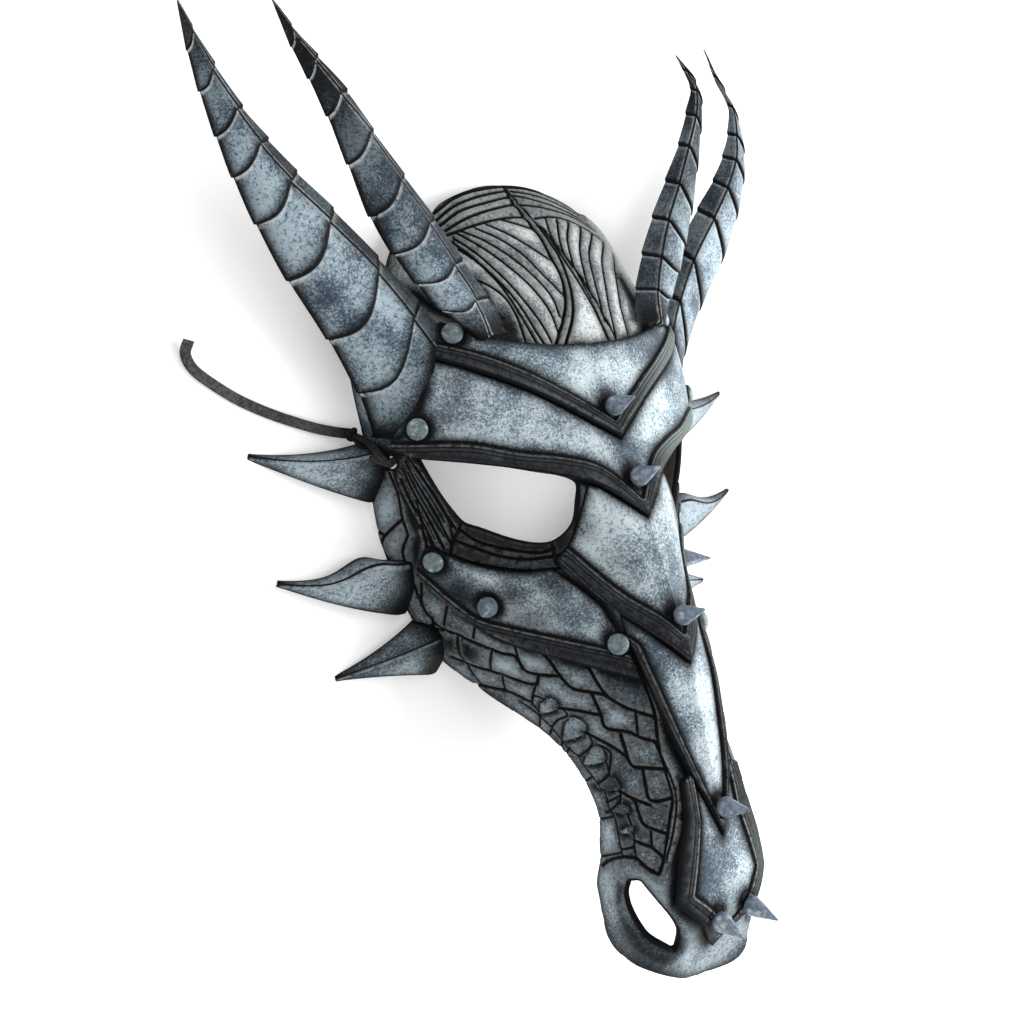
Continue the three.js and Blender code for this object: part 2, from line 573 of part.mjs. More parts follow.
// Turned metal parts stand on the skin along its normal
function standing(name, profile, finish, [across, up], lift) {
  const geometry = new THREE.LatheGeometry(profile.map(([r, h]) => new THREE.Vector2(r, h)), STUD_SIDES);
  geometry.rotateX(Math.PI / 2);
  const mesh = addMesh(name, geometry, finish);
  mesh.position.copy(face.point(across, up, lift + STUD_GAP));
  mesh.quaternion.setFromUnitVectors(new THREE.Vector3(0, 0, 1), face.normal(across, up));
  return mesh;
}

for (const [side, sign] of [['left', 1], ['right', -1]]) {
  for (const [place, [across, up]] of Object.entries(RIVETS)) {
    const base = ON_BORDER.includes(place) ? BORDER_TOP : PLATE_TOP;
    standing(`rivet_${place}_${side}`, RIVET_PROFILE, 'rivet', [across * sign, up], base);
  }
  for (const [place, [across, up]] of Object.entries(SIDE_CONES)) {
    const base = ON_BORDER.includes(place) ? BORDER_TOP : PLATE_TOP;
    standing(`cone_${place}_${side}`, CONE_PROFILE, 'stud', [across * sign, up], base);
  }
}
for (const [place, up] of Object.entries(RIDGE_CONES)) {
  standing(`cone_${place}`, CONE_PROFILE, 'stud', [0, up], place === 'ridge' ? BAND_TOP : PLATE_TOP);
}

// Tie lace: a knot outside the right temple hole and a flat thong lying beside it
const section = new THREE.Shape();
for (let k = 0; k < 8; k += 1) {
  const angle = ((k + 0.5) / 8) * 2 * Math.PI;
  const reach = 1 / Math.cos(Math.PI / 8);
  const [x, y] = [(LACE_THICKNESS / 2) * reach * Math.cos(angle), (LACE_WIDTH / 2) * reach * Math.sin(angle)];
  if (k === 0) section.moveTo(x, y);
  else section.lineTo(x, y);
}
section.closePath();
const route = new THREE.CatmullRomCurve3(LACE_ROUTE.map((p) => vec(p)), false, 'centripetal');
addMesh('lace_right', new THREE.ExtrudeGeometry(section, { extrudePath: route, steps: LACE_STEPS }), 'lace');
const knot = addMesh('lace_knot_right', new THREE.SphereGeometry(KNOT_RADIUS, 10, 6), 'lace');
knot.position.copy(vec(KNOT_PLACE));

export default mask;
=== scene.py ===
"""Leather dragon mask, dressed: tooled and antiqued leather plates, crown and horns, metal studs, a lace.

Pattern places are [across, up] in millimetres: the distance from the ridge along the skin, and the
height up the mask. Meshes are written in metres.
"""

import logging
import math
from dataclasses import dataclass, field
from enum import Enum
from typing import Iterable, Optional, Sequence

import bpy
import numpy as np
from mathutils import Matrix, Vector
from mathutils.geometry import delaunay_2d_cdt


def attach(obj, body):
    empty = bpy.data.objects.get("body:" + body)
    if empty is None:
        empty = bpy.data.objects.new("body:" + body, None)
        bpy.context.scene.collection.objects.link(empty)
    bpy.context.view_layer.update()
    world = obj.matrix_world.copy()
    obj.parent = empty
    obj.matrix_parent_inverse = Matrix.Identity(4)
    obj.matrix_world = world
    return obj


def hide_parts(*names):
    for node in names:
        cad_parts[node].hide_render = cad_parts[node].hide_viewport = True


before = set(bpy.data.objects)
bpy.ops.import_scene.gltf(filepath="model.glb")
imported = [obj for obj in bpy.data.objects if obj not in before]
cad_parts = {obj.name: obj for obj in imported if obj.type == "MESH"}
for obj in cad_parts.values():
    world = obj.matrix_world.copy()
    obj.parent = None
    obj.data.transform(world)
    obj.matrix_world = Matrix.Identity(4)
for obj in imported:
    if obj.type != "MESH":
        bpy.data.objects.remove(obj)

LOG = logging.getLogger("mask")
MM = 0.001
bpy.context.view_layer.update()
Points = np.ndarray
Place = tuple[float, float]
Spot = tuple[float, float, float]
Line = list[Place]
Face = Sequence[int]
Piece = bpy.types.Object
Material = bpy.types.Material
Tree = bpy.types.NodeTree

# Small and large limits in the pattern's millimetres
FAR, TINY = 1e9, 1e-9
SAME_CORNER = 0.3
ON_RIDGE = 1e-6
FINE_STEP = 0.5
CHUNK = 4000

# Reference skin: sections across the mask, ridge to rim, as in the solid model
FACE_SECTIONS: dict[float, Line] = {
    84: [(0, 46.5), (18, 45.5), (36, 43), (54, 36.5), (74, 22), (92, 3.5)],
    60: [(0, 53.5), (19, 52.5), (39, 50), (59, 42.5), (79, 27), (92.5, 3.5)],
    31: [(0, 60.5), (19, 59), (38, 55), (58, 47), (80, 30), (89.5, 3.5)],
    9: [(0, 68.5), (16, 66), (33, 59), (54, 47.5), (77, 29), (89, 3.5)],
    -8: [(0, 73.5), (15, 71), (31, 61.5), (50, 48), (73, 27), (87.5, 3.5)],
    -20: [(0, 77.5), (14, 74.5), (29, 63.5), (47, 49), (69, 27), (84, 3.5)],
    -40: [(0, 83), (13, 79), (26, 67.5), (42, 52), (60, 32), (78, 4)],
    -60: [(0, 88), (11, 84.5), (23, 76), (38, 61), (54, 38), (68, 5)],
    -78: [(0, 91), (10, 88.5), (20, 84), (33, 72), (46, 50), (54, 15)],
    -100: [(0, 94.5), (9, 92.5), (18, 89.5), (28, 81), (38, 65), (41, 45)],
    -125: [(0, 97.5), (10, 96.5), (20, 95), (29, 88), (36.5, 74), (36, 61)],
    -146: [(0, 98.7), (10, 98.3), (20, 97), (29, 92), (37.5, 78), (36, 61)],
    -162: [(0, 99.5), (10, 99), (20, 97.5), (30, 92.5), (40, 78), (38, 59)],
    -176: [(0, 99), (9, 98.8), (18, 97.5), (27, 93), (38, 79), (39, 62)],
    -190: [(0, 88), (9, 88), (18, 88.5), (27, 86.5), (34.5, 77), (36, 64)],
    -212: [(0, 77), (8, 77.5), (16, 77.5), (24, 76), (30, 70), (33, 62)],
}
CROWN_SECTIONS: dict[float, Line] = {
    140.5: [(0, 8), (4, 7.9), (8, 7.6), (12, 7.2), (15.5, 6.8), (18, 6)],
    129: [(0, 17.5), (10, 17), (20, 15.6), (30, 13.3), (38, 10.5), (45, 6.5)],
    118: [(0, 26), (14, 25.3), (28, 23), (41, 18.5), (52, 13), (61, 6)],
    105: [(0, 33), (16, 32.5), (32, 29.5), (47, 24), (60, 15.5), (69, 5.5)],
    84: [(0, 43.5), (18, 42.5), (35, 40), (51, 34), (65, 22), (74, 5)],
    56: [(0, 50.5), (18, 49.5), (36, 47), (53, 41), (68, 27), (77, 5)],
}

# Layer heights over the skin, in millimetres
FACE_LEATHER, FACE_TOP = 2.8, -1.2
PLATE_BOTTOM, PLATE_TOP, BAND_TOP, BORDER_TOP = -0.9, 1.3, 2.5, 2.1
CROWN_LEATHER = 2.4

# Seams and bands between the plates, from the ridge to the side
BROW_TOP: Line = [(0, 64.5), (25, 66), (53, 72), (67, 79.5)]
BROW_SEAM: Line = [(0, 23.5), (34, 45), (61, 58.5), (76, 65)]
EYE_BROW: Line = [(0, -10), (18, 5), (26, 9), (45, 15.5), (69, 21.5), (91, 26)]
NOSE_SEAM: Line = [(0, -71), (17, -53.5), (30, -41), (44, -22)]
RIDGE_SEAM: Line = [(0, -143), (8, -124), (12, -114), (16, -100), (20, -79), (24, -56)]
BROW_BAND: Line = [(0, 31), (6, 35.5), (32, 52), (56, 64.5), (76, 72)]
EYE_BAND: Line = [(0, -2.5), (15, 13), (31, 19.5), (48, 23.5), (68, 29.5), (100, 33)]
NOSE_BAND: Line = [(0, -59), (6, -52), (21, -38), (38, -17.5)]
CHEEK_BAND: Line = [(103, -18), (84, -41.5), (75, -46.5), (30, -61.5), (20, -66)]
CHEEK_LOW: Line = [(103, -24), (86, -46), (73, -55.5), (44, -66.5), (22.5, -75)]
CHEEK_TOP: Line = [(95, -11), (87, -15.5), (75, -21.5), (60, -25.5), (46, -26)]
SNOUT_OUTER: Line = [(17, -117), (19, -132), (24, -147), (28, -165)]
HORN_FOOT: Line = [(75.3, 67.9), (79.1, 58), (83.3, 48.9), (88.7, 39.9), (95.1, 35.1), (103.6, 34.3)]
EYE_HOLE: Line = [(91, 26.5), (69, 21), (45, 15), (27, 9), (29, 1), (34, -9), (44, -15), (56, -13.5),
                  (71, -6.5), (78, -2.5)]
NOSTRIL: Line = [(46, -155), (41, -155.5), (22, -188), (32, -183.5), (40, -178), (46, -169), (48, -160)]
LACE_HOLE: Line = [(108, 27), (103, 27), (102, 23), (107, 22)]
FACE_CROWN_EDGE: Line = [(0, 59), (25, 60.5), (53, 66), (72, 73), (92, 75)]
NOSE_EDGE: Line = [(0, -210.5), (8, -208.3), (20, -202), (30, -198), (44, -193), (53, -189),
                   (60, -182), (65, -172), (72, -161)]


def hermite(places: Sequence[float], values: Sequence[float], place: float) -> float:
    """Cubic through values at places, with each slope taken from the neighbours.

    Args:
        places: rising places.
        values: the value at each of them.
        place: where to read it.

    Returns:
        The value there.
    """
    last = len(places) - 1
    i = 0
    while i < last - 1 and place > places[i + 1]:
        i += 1
    span = places[i + 1] - places[i]
    t = min(max((place - places[i]) / span, 0), 1)

    def slope(k: int) -> float:
        """Slope at one place."""
        a, b = max(k - 1, 0), min(k + 1, last)
        return (values[b] - values[a]) / (places[b] - places[a])

    return ((2 * t**3 - 3 * t**2 + 1) * values[i] + (t**3 - 2 * t**2 + t) * slope(i) * span
            + (3 * t**2 - 2 * t**3) * values[i + 1] + (t**3 - t**2) * slope(i + 1) * span)


class Skin:
    """A curved leather skin, addressed by pattern places and a lift along its normal."""

    ROW = 1.0
    STEP = 0.5
    KNOTS = 6
    FINE = 121
    LAST = 1.001
    PROBE = 1.2

    def __init__(self, sections: dict[float, Line], reach: float) -> None:
        """Tables the skin.

        Args:
            sections: ridge-to-rim lines as (x, z), keyed by height up the mask.
            reach: how far across the table runs, past the widest rim.
        """
        ups = sorted(sections)
        self.low = ups[0]
        self.rows = np.arange(ups[0], ups[-1] + self.ROW, self.ROW)
        self.across = np.arange(0, reach, self.STEP)
        self.girths = np.zeros(len(self.rows))
        self.x = np.zeros((len(self.rows), len(self.across)))
        self.z = np.zeros_like(self.x)
        knots, places = range(self.KNOTS), np.linspace(0, self.KNOTS - 1, self.FINE)
        for r, up in enumerate(self.rows):
            up = min(up, ups[-1])
            lines = [[hermite(ups, [sections[u][c][k] for u in ups], up) for c in knots] for k in (0, 1)]
            xs, zs = (np.array([hermite(knots, line, p) for p in places]) for line in lines)
            run = np.concatenate([[0], np.cumsum(np.hypot(np.diff(xs), np.diff(zs)))])
            past = np.maximum(self.across - run[-1], 0) / (run[-1] - run[-2])
            self.girths[r] = run[-1]
            self.x[r] = np.interp(self.across, run, xs) + past * (xs[-1] - xs[-2])
            self.z[r] = np.interp(self.across, run, zs) + past * (zs[-1] - zs[-2])

    def at(self, across: Points, up: Points) -> Points:
        """Points on the skin, as an array of x, y, z rows in millimetres.

        Args:
            across: distances from the ridge.
            up: heights up the mask.

        Returns:
            Rows of x, y and z.
        """
        r = np.clip((up - self.low) / self.ROW, 0, len(self.rows) - self.LAST)
        c = np.clip(np.abs(across) / self.STEP, 0, len(self.across) - self.LAST)
        i, j = r.astype(int), c.astype(int)
        fr, fc = r - i, c - j
        out = []
        for table in (self.x, self.z):
            lower = table[i, j] * (1 - fc) + table[i, j + 1] * fc
            upper = table[i + 1, j] * (1 - fc) + table[i + 1, j + 1] * fc
            out.append(lower * (1 - fr) + upper * fr)
        return np.stack([np.sign(across) * out[0], up, out[1]], 1)

    def normal(self, across: Points, up: Points) -> Points:
        """Unit normals of the skin, one row for each place.

        Args:
            across: distances from the ridge.
            up: heights up the mask.

        Returns:
            Unit rows.
        """
        east = self.at(across + self.PROBE, up) - self.at(across - self.PROBE, up)
        north = self.at(across, up + self.PROBE) - self.at(across, up - self.PROBE)
        cross = np.cross(east, north)
        return cross / np.linalg.norm(cross, axis=1, keepdims=True)

    def lift(self, across: Points, up: Points, lift: Points) -> Points:
        """Points at a lift off the skin."""
        return self.at(across, up) + self.normal(across, up) * np.reshape(lift, (-1, 1))


def travelled(line: Points) -> Points:
    """How far along a line each of its points is."""
    return np.concatenate([[0], np.cumsum(np.linalg.norm(np.diff(line, axis=0), axis=1))])


def evenly(line: Points, step: float) -> Points:
    """Even samples along a line that is already smooth.

    Args:
        line: the line's points.
        step: distance between samples.

    Returns:
        The samples.
    """
    run = travelled(line)
    even = np.linspace(0, run[-1], max(2, int(round(run[-1] / step)) + 1))
    return np.stack([np.interp(even, run, line[:, k]) for k in (0, 1)], 1)


def flow(points: Line, step: float = 1.2) -> Points:
    """A smooth line through points, sampled evenly.

    Args:
        points: the places that it passes.
        step: distance between samples.

    Returns:
        The samples, first and last point included.
    """
    p = np.array(points, float)
    if len(p) > 2:
        run = travelled(p)
        fine = np.linspace(0, run[-1], max(3, int(run[-1] / FINE_STEP)))
        p = np.array([[hermite(run, p[:, k], s) for k in (0, 1)] for s in fine])
    return evenly(p, step)


def flows(table: Iterable[Line]) -> tuple[Points, ...]:
    """Smooth lines from a table of places."""
    return tuple(flow(line) for line in table)


def joined(*sides: Points) -> Points:
    """A closed outline from sides that follow one another, without repeated corners.

    Args:
        sides: the sides, in order.

    Returns:
        The outline.
    """
    out: list[Points] = []
    for side in sides:
        for p in side:
            if not out or np.linalg.norm(p - out[-1]) > SAME_CORNER:
                out.append(p)
    if np.linalg.norm(out[0] - out[-1]) < SAME_CORNER:
        out.pop()
    return np.array(out)


def looped(points: Line, step: float) -> Points:
    """A smooth closed outline through points."""
    return joined(flow([*points, points[0]], step))


def closed(loop: Points) -> Points:
    """A loop's points, run back to the first one."""
    return np.vstack([loop, loop[:1]])


def inside(places: Points, outline: Points) -> Points:
    """Whether each place is inside a closed outline.

    Args:
        places: places as rows on the pattern.
        outline: the closed outline.

    Returns:
        True for each place inside.
    """
    x, y = places[:, :1], places[:, 1:]
    ax, ay = outline[:, 0], outline[:, 1]
    bx, by = np.roll(ax, -1), np.roll(ay, -1)
    crosses = (ay > y) != (by > y)
    with np.errstate(divide="ignore", invalid="ignore"):
        at = ax + (y - ay) / (by - ay) * (bx - ax)
    return (np.sum(crosses & (x < at), axis=1) % 2) == 1


def distance(places: Points, line: Points) -> Points:
    """Distance from each place to a line.

    Args:
        places: places as rows on the pattern.
        line: the line's points.

    Returns:
        The distances.
    """
    start, way = line[:-1], np.diff(line, axis=0)
    best = np.full(len(places), FAR)
    for first in range(0, len(places), CHUNK):
        near = places[first:first + CHUNK, None, :]
        t = np.clip(((near - start) * way).sum(2) / np.maximum((way * way).sum(1), TINY), 0, 1)
        away = near - (start + t[..., None] * way)
        best[first:first + CHUNK] = np.hypot(away[..., 0], away[..., 1]).min(1)
    return best


def smooth(t: Points) -> Points:
    """Eases from 0 to 1 as t runs from 0 to 1."""
    t = np.clip(t, 0, 1)
    return t * t * (3 - 2 * t)


def bell(away: Points, spread: float) -> Points:
    """1 at no distance, with a flat top, falling to nothing past the spread."""
    return np.exp(-(away / spread) ** 2)


def fade(away: Points, reach: float) -> Points:
    """1 at no distance, falling fast at first and then slowly."""
    return np.exp(-away / reach)


@dataclass(frozen=True)
class Mark:
    """A soft line along an edge: how strong it is, how wide, and how far from the edge."""

    strength: float
    width: float
    at: float = 0.0

    def on(self, away: Points) -> Points:
        """Its strength at distances from the edge."""
        return self.strength * bell(away - self.at, self.width)


@dataclass(frozen=True)
class Shadow:
    """A darkening that fades away from an edge: how strong it is, and its reach."""

    strength: float
    reach: float

    def on(self, away: Points) -> Points:
        """Its strength at distances from the edge."""
        return self.strength * fade(away, self.reach)


class Layer(Enum):
    """What a relief writes at each place of a sheet."""

    HEIGHT = "height"
    GROOVE = "groove"
    SHADE = "shade"
    BAND = "band"
    # Pale rubs and painted glints along lips and edges
    RUB = "rub"


Layers = dict[Layer, Points]
Guides = list[tuple[Points, Sequence[float]]]
PAINTED = (Layer.GROOVE, Layer.SHADE, Layer.BAND, Layer.RUB)
BACK = "back"
MARKS = (*(layer.value for layer in PAINTED), BACK)


def deepen(layers: Layers, layer: Layer, values: Points) -> None:
    """Brings a layer up to the values where they are higher."""
    np.maximum(layers[layer], values, out=layers[layer])


@dataclass(frozen=True)
class Grooves:
    """Lines cut and pressed into the leather, with the leather between them puffed up."""

    lines: tuple[Points, ...]
    width: float = 0.75
    depth: float = 0.8
    puff: float = 0.35
    reach: float = 3.0
    soft: float = 0.35
    pale: float = 0.5

    BESIDE = (0.55, 1.1, 2)
    MARGIN = 9
    INK_SPREAD = 1.6
    LIP = Mark(1, 0.28)

    def guides(self) -> Guides:
        """Lines that the mesh follows, each with its offsets."""
        offsets = [0] + [side * share * self.width for share in self.BESIDE for side in (1, -1)]
        return [(line, offsets) for line in self.lines]

    def carve(self, places: Points, layers: Layers) -> None:
        """Adds its groove, puff and shading to the layers.

        Args:
            places: places as rows on the pattern.
            layers: the layers to work into.
        """
        near = np.full(len(places), FAR)
        for line in self.lines:
            low, high = line.min(0) - self.MARGIN, line.max(0) + self.MARGIN
            close = np.all((places > low) & (places < high), axis=1)
            if close.any():
                near[close] = np.minimum(near[close], distance(places[close], line))
        around = fade(near, self.reach)
        layers[Layer.HEIGHT] -= self.depth * bell(near, self.width) + self.puff * around
        deepen(layers, Layer.GROOVE, np.exp(-(near / self.width) ** 2 / self.INK_SPREAD))
        deepen(layers, Layer.SHADE, self.soft * around)
        # Pale lip beside each line: rubs and painted glints
        deepen(layers, Layer.RUB, self.pale * self.LIP.on(near - 2 * self.width))


@dataclass(frozen=True)
class Raised:
    """A band or border that stands over the leather around it, with a groove on both sides."""

    outline: Points
    height: float
    band: float = 1.0
    ease: float = 0.9
    crest: float = 0.25
    creases: tuple[float, ...] = (1.8, 3.4)
    glint: float = 0.3
    line: float = 0.9

    EDGE_MARKS = (-0.7, 0, 0.45)
    CREASE_MARK = 0.5
    CREST_EASE = 3
    CREASE, CREASE_DEPTH, CREASE_INK = Mark(1, 0.35), 0.35, 0.7
    EDGE_DEPTH, INNER_INK, PAINT_EASE = 0.25, 0.7, 0.6
    DARK = Shadow(0.95, 3.2)
    LIP, CREASE_LIP = Mark(1, 0.25, 1.05), Mark(0.5, 0.25, 0.8)

    def guides(self) -> Guides:
        """Lines that the mesh follows, each with its offsets.

        Returns:
            Lines with their offsets.
        """
        marks = [*self.EDGE_MARKS, self.ease]
        for crease in self.creases:
            marks += [crease - self.CREASE_MARK, crease, crease + self.CREASE_MARK]
        return [(closed(self.outline), marks + [-m for m in marks[1:]])]

    def carve(self, places: Points, layers: Layers) -> None:
        """Adds its rise, its edge grooves, its dark paint, painted shade beside it and pale lips to the
        layers.

        Args:
            places: places as rows on the pattern.
            layers: the layers to work into.
        """
        d = distance(places, closed(self.outline))
        within = inside(places, self.outline)
        rise, crown = (within * smooth(d / ease) for ease in (self.ease, self.CREST_EASE))
        edge = bell(d, self.line)
        layers[Layer.HEIGHT] += self.height * rise + self.crest * crown
        layers[Layer.HEIGHT] -= self.EDGE_DEPTH * edge * ~within
        for crease in self.creases:
            fold = within * self.CREASE.on(d - crease)
            layers[Layer.HEIGHT] -= self.CREASE_DEPTH * fold
            deepen(layers, Layer.GROOVE, self.CREASE_INK * fold)
            # Pale lip beside each crease: rubs and painted glints
            deepen(layers, Layer.RUB, within * self.glint * self.CREASE_LIP.on(d - crease))
        deepen(layers, Layer.GROOVE, np.where(within, self.INNER_INK, 1.0) * edge)
        deepen(layers, Layer.BAND, within * self.band * smooth(d / self.PAINT_EASE + 0.5))
        # Painted shade on the leather beside the band
        deepen(layers, Layer.SHADE, ~within * self.DARK.on(d))
        # Pale lip along the band's edge: rubs and painted glints
        deepen(layers, Layer.RUB, within * self.glint * self.LIP.on(d))


@dataclass(frozen=True)
class Rolled:
    """A rolled lip beside a line: a swelling at one distance from it, and a dark wall up to it."""

    line: Points
    middle: float
    spread: float
    height: float
    wall: float

    BESIDE = (1.0, -1.0, 2.2, -2.2, 3.4, -3.4)
    WALL_DEPTH = 1.0
    INK_REACH = 1.4
    DARK = 0.7

    def guides(self) -> Guides:
        """Lines that the mesh follows, each with its offsets."""
        return [(closed(self.line), self.BESIDE)]

    def carve(self, places: Points, layers: Layers) -> None:
        """Adds the swelling and the dark wall.

        Args:
            places: places as rows on the pattern.
            layers: the layers to work into.
        """
        d = distance(places, closed(self.line))
        layers[Layer.HEIGHT] += self.height * bell(d - self.middle, self.spread)
        layers[Layer.HEIGHT] -= self.WALL_DEPTH * bell(d, self.wall)
        deepen(layers, Layer.GROOVE, smooth(self.INK_REACH - d / self.wall))
        deepen(layers, Layer.SHADE, self.DARK * bell(d, 2 * self.wall))


@dataclass(frozen=True)
class Seats:
    """The dark ring that a stud presses into the leather, and a painted shadow round it."""

    places: tuple[Place, ...]
    radius: float = 4.7
    halo: float = 5.2
    strength: float = 0.95

    BESIDE = (-0.6, 0, 0.6)
    AROUND = 25
    RING, RING_DEPTH = Mark(1, 0.45), 0.3

    def guides(self) -> Guides:
        """Rings that the mesh follows.

        Returns:
            Rings with their offsets.
        """
        turn = np.linspace(0, 2 * math.pi, self.AROUND)
        ring = self.radius * np.stack([np.cos(turn), np.sin(turn)], 1)
        return [(ring + place, self.BESIDE) for place in self.places]

    def carve(self, places: Points, layers: Layers) -> None:
        """Adds the rings and the painted shadow.

        Args:
            places: places as rows on the pattern.
            layers: the layers to work into.
        """
        for a, u in self.places:
            away = np.hypot(places[:, 0] - a, places[:, 1] - u) - self.radius
            ring = self.RING.on(away)
            layers[Layer.HEIGHT] -= self.RING_DEPTH * ring
            deepen(layers, Layer.GROOVE, ring)
            # Painted shadow round the stud, fading outward
            deepen(layers, Layer.SHADE, self.strength * fade(np.maximum(away, 0), self.halo))


@dataclass(frozen=True)
class ShadeAndAirbrush:
    """Painted shade and airbrushed black along lines and over round spots: across, up, radius, strength."""

    lines: tuple[Points, ...] = ()
    reach: float = 4.0
    strength: float = 0.98
    spots: tuple[tuple[float, float, float, float], ...] = ()

    def guides(self) -> Guides:
        """It needs no lines in the mesh."""
        return []

    def carve(self, places: Points, layers: Layers) -> None:
        """Adds the darkening.

        Args:
            places: places as rows on the pattern.
            layers: the layers to work into.
        """
        for line in self.lines:
            deepen(layers, Layer.SHADE, self.strength * fade(distance(places, line), self.reach))
        for a, u, radius, strength in self.spots:
            away = np.hypot(places[:, 0] - a, places[:, 1] - u)
            deepen(layers, Layer.SHADE, strength * bell(away, radius))


Relief = Grooves | Raised | Rolled | Seats | ShadeAndAirbrush


def in_scene(name: str, data: bpy.types.ID) -> Piece:
    """A new object, linked to the scene.

    Args:
        name: the object's name.
        data: its data.

    Returns:
        The object.
    """
    made = bpy.data.objects.new(name, data)
    bpy.context.scene.collection.objects.link(made)
    return made


def write_mesh(name: str, points: Points, faces: list[Face], layers: dict[str, Points]) -> Piece:
    """Makes a smooth-shaded object from points in millimetres.

    Args:
        name: the object's name.
        points: vertices, one row each.
        faces: vertex numbers of each face, turning left as seen from outside.
        layers: float attributes by name, one value for each vertex.

    Returns:
        The object, linked to the scene.
    """
    mesh = bpy.data.meshes.new(name)
    mesh.from_pydata((points * MM).tolist(), [], [list(map(int, f)) for f in faces])
    for key, values in layers.items():
        mesh.attributes.new(key, "FLOAT", "POINT").data.foreach_set("value", np.asarray(values, np.float32))
    mesh.polygons.foreach_set("use_smooth", [True] * len(mesh.polygons))
    mesh.validate()
    return in_scene(name, mesh)


@dataclass
class Sheet:
    """One sheet of leather, cut to a pattern and laid on a skin.

    A sheet that starts on the ridge is cut as one half and mirrored onto the other.
    """

    name: str
    skin: Skin
    outline: Points
    low: float
    top: float
    reliefs: list[Relief]
    holes: list[Points] = field(default_factory=list)
    spacing: float = 2.0
    side: int = 0
    edge_shade: float = 0.85
    edge_reach: float = 3.6
    round_over: float = 0.8

    RIM_OFFSETS = (1.7, -1.7)
    FINE_OFFSETS = (0.35, -0.35, 0.9, -0.9)
    GUIDE_STEP = 1.15
    CELL = 0.34
    BACK_SPACING = 2.2
    ROW_SHARE = 0.866
    CLEAR = 0.62
    RIM_GAP, RIDGE_GAP = 0.2, 0.25
    SNAP, SLIVER = 1e-4, 1e-7
    RIM_INK = Mark(0.75, 0.7)
    THINNEST = 0.4

    def loops(self) -> list[Points]:
        """The outline and the holes."""
        return [self.outline, *self.holes]

    def beside_lines(self, fine: bool) -> Points:
        """Points beside the rims and, on the worked face, beside the reliefs' lines.

        Args:
            fine: whether the mesh follows the reliefs.

        Returns:
            The points, thinned.
        """
        guides = [(closed(loop), self.RIM_OFFSETS) for loop in self.loops()]
        if fine:
            guides += [(closed(loop), self.FINE_OFFSETS) for loop in self.loops()]
            for relief in self.reliefs:
                guides += relief.guides()
        near: list[Points] = []
        for line, offsets in guides:
            way = evenly(line, self.GUIDE_STEP)
            heading = np.gradient(way, axis=0)
            heading /= np.maximum(np.linalg.norm(heading, axis=1, keepdims=True), TINY)
            across = np.stack([-heading[:, 1], heading[:, 0]], 1)
            near += [way + across * offset for offset in offsets]
        return thinned(np.vstack(near), self.CELL)

    def staggered(self, apart: float) -> Points:
        """Staggered rows of points over the whole pattern.

        Args:
            apart: distance between points.

        Returns:
            The points.
        """
        low, high = self.outline.min(0), self.outline.max(0)
        rows = []
        for k, up in enumerate(np.arange(low[1], high[1], apart * self.ROW_SHARE)):
            across = np.arange(low[0] + (k % 2) * apart / 2, high[0], apart)
            rows.append(np.stack([across, np.full(len(across), up)], 1))
        return np.vstack(rows)

    def places(self, fine: bool) -> tuple[Points, list[tuple[int, int]]]:
        """The places to triangulate between, and the edges that are kept.

        Args:
            fine: whether the mesh follows the reliefs, as on the worked face of the leather.

        Returns:
            Places as rows, outline first, and pairs of their numbers.
        """
        edges, base = [], 0
        for loop in self.loops():
            count = len(loop)
            edges += [(base + i, base + (i + 1) % count) for i in range(count)]
            base += count
        apart = self.spacing if fine else self.BACK_SPACING * self.spacing
        beside = self.beside_lines(fine)
        inner = np.vstack([beside, far_from(self.staggered(apart), beside, apart * self.CLEAR)])
        inner = inner[inside(inner, self.outline)]
        for hole in self.holes:
            inner = inner[~inside(inner, hole)]
        for loop in self.loops():
            inner = inner[distance(inner, closed(loop)) > self.RIM_GAP]
        if self.side == 0:
            inner = inner[inner[:, 0] > self.RIDGE_GAP]
        return np.vstack([*self.loops(), inner]), edges

    def cut(self, fine: bool = True) -> tuple[Points, list[Face]]:
        """The flat pattern as places and triangles, all turning left.

        Args:
            fine: whether the mesh follows the reliefs.

        Returns:
            The places and their triangles.
        """
        places, edges = self.places(fine)
        out = delaunay_2d_cdt([Vector(p) for p in places.tolist()], edges, [], 0, self.SNAP)
        flat = np.array([[v.x, v.y] for v in out[0]])
        faces = np.array([f for f in out[2] if len(f) == 3])
        middle = flat[faces].mean(1)
        keep = inside(middle, self.outline)
        for hole in self.holes:
            keep &= ~inside(middle, hole)
        faces = faces[keep]
        a, b, c = (flat[faces[:, k]] for k in range(3))
        area = (b[:, 0] - a[:, 0]) * (c[:, 1] - a[:, 1]) - (b[:, 1] - a[:, 1]) * (c[:, 0] - a[:, 0])
        faces[area < 0] = faces[area < 0][:, ::-1]
        used = np.unique(faces)
        number = np.full(len(flat), -1)
        number[used] = np.arange(len(used))
        return flat[used], number[faces[np.abs(area) > self.SLIVER]].tolist()

    def layers(self, places: Points) -> Layers:
        """Relief, grooves, shading and bands at each place.

        Args:
            places: places as rows on the pattern.

        Returns:
            The layers by kind.
        """
        made = {layer: np.zeros(len(places)) for layer in Layer}
        rim_away = np.full(len(places), FAR)
        for loop in self.loops():
            for run in off_ridge(closed(loop)) if self.side == 0 else [closed(loop)]:
                rim_away = np.minimum(rim_away, distance(places, run))
        for relief in self.reliefs:
            relief.carve(places, made)
        rounding = 1 - np.clip(1 - rim_away / self.round_over, 0, 1) ** 2
        made[Layer.HEIGHT] -= self.round_over * (1 - np.sqrt(np.clip(rounding, 0, 1)))
        deepen(made, Layer.SHADE, self.edge_shade * fade(rim_away, self.edge_reach))
        deepen(made, Layer.GROOVE, self.RIM_INK.on(rim_away))
        return made

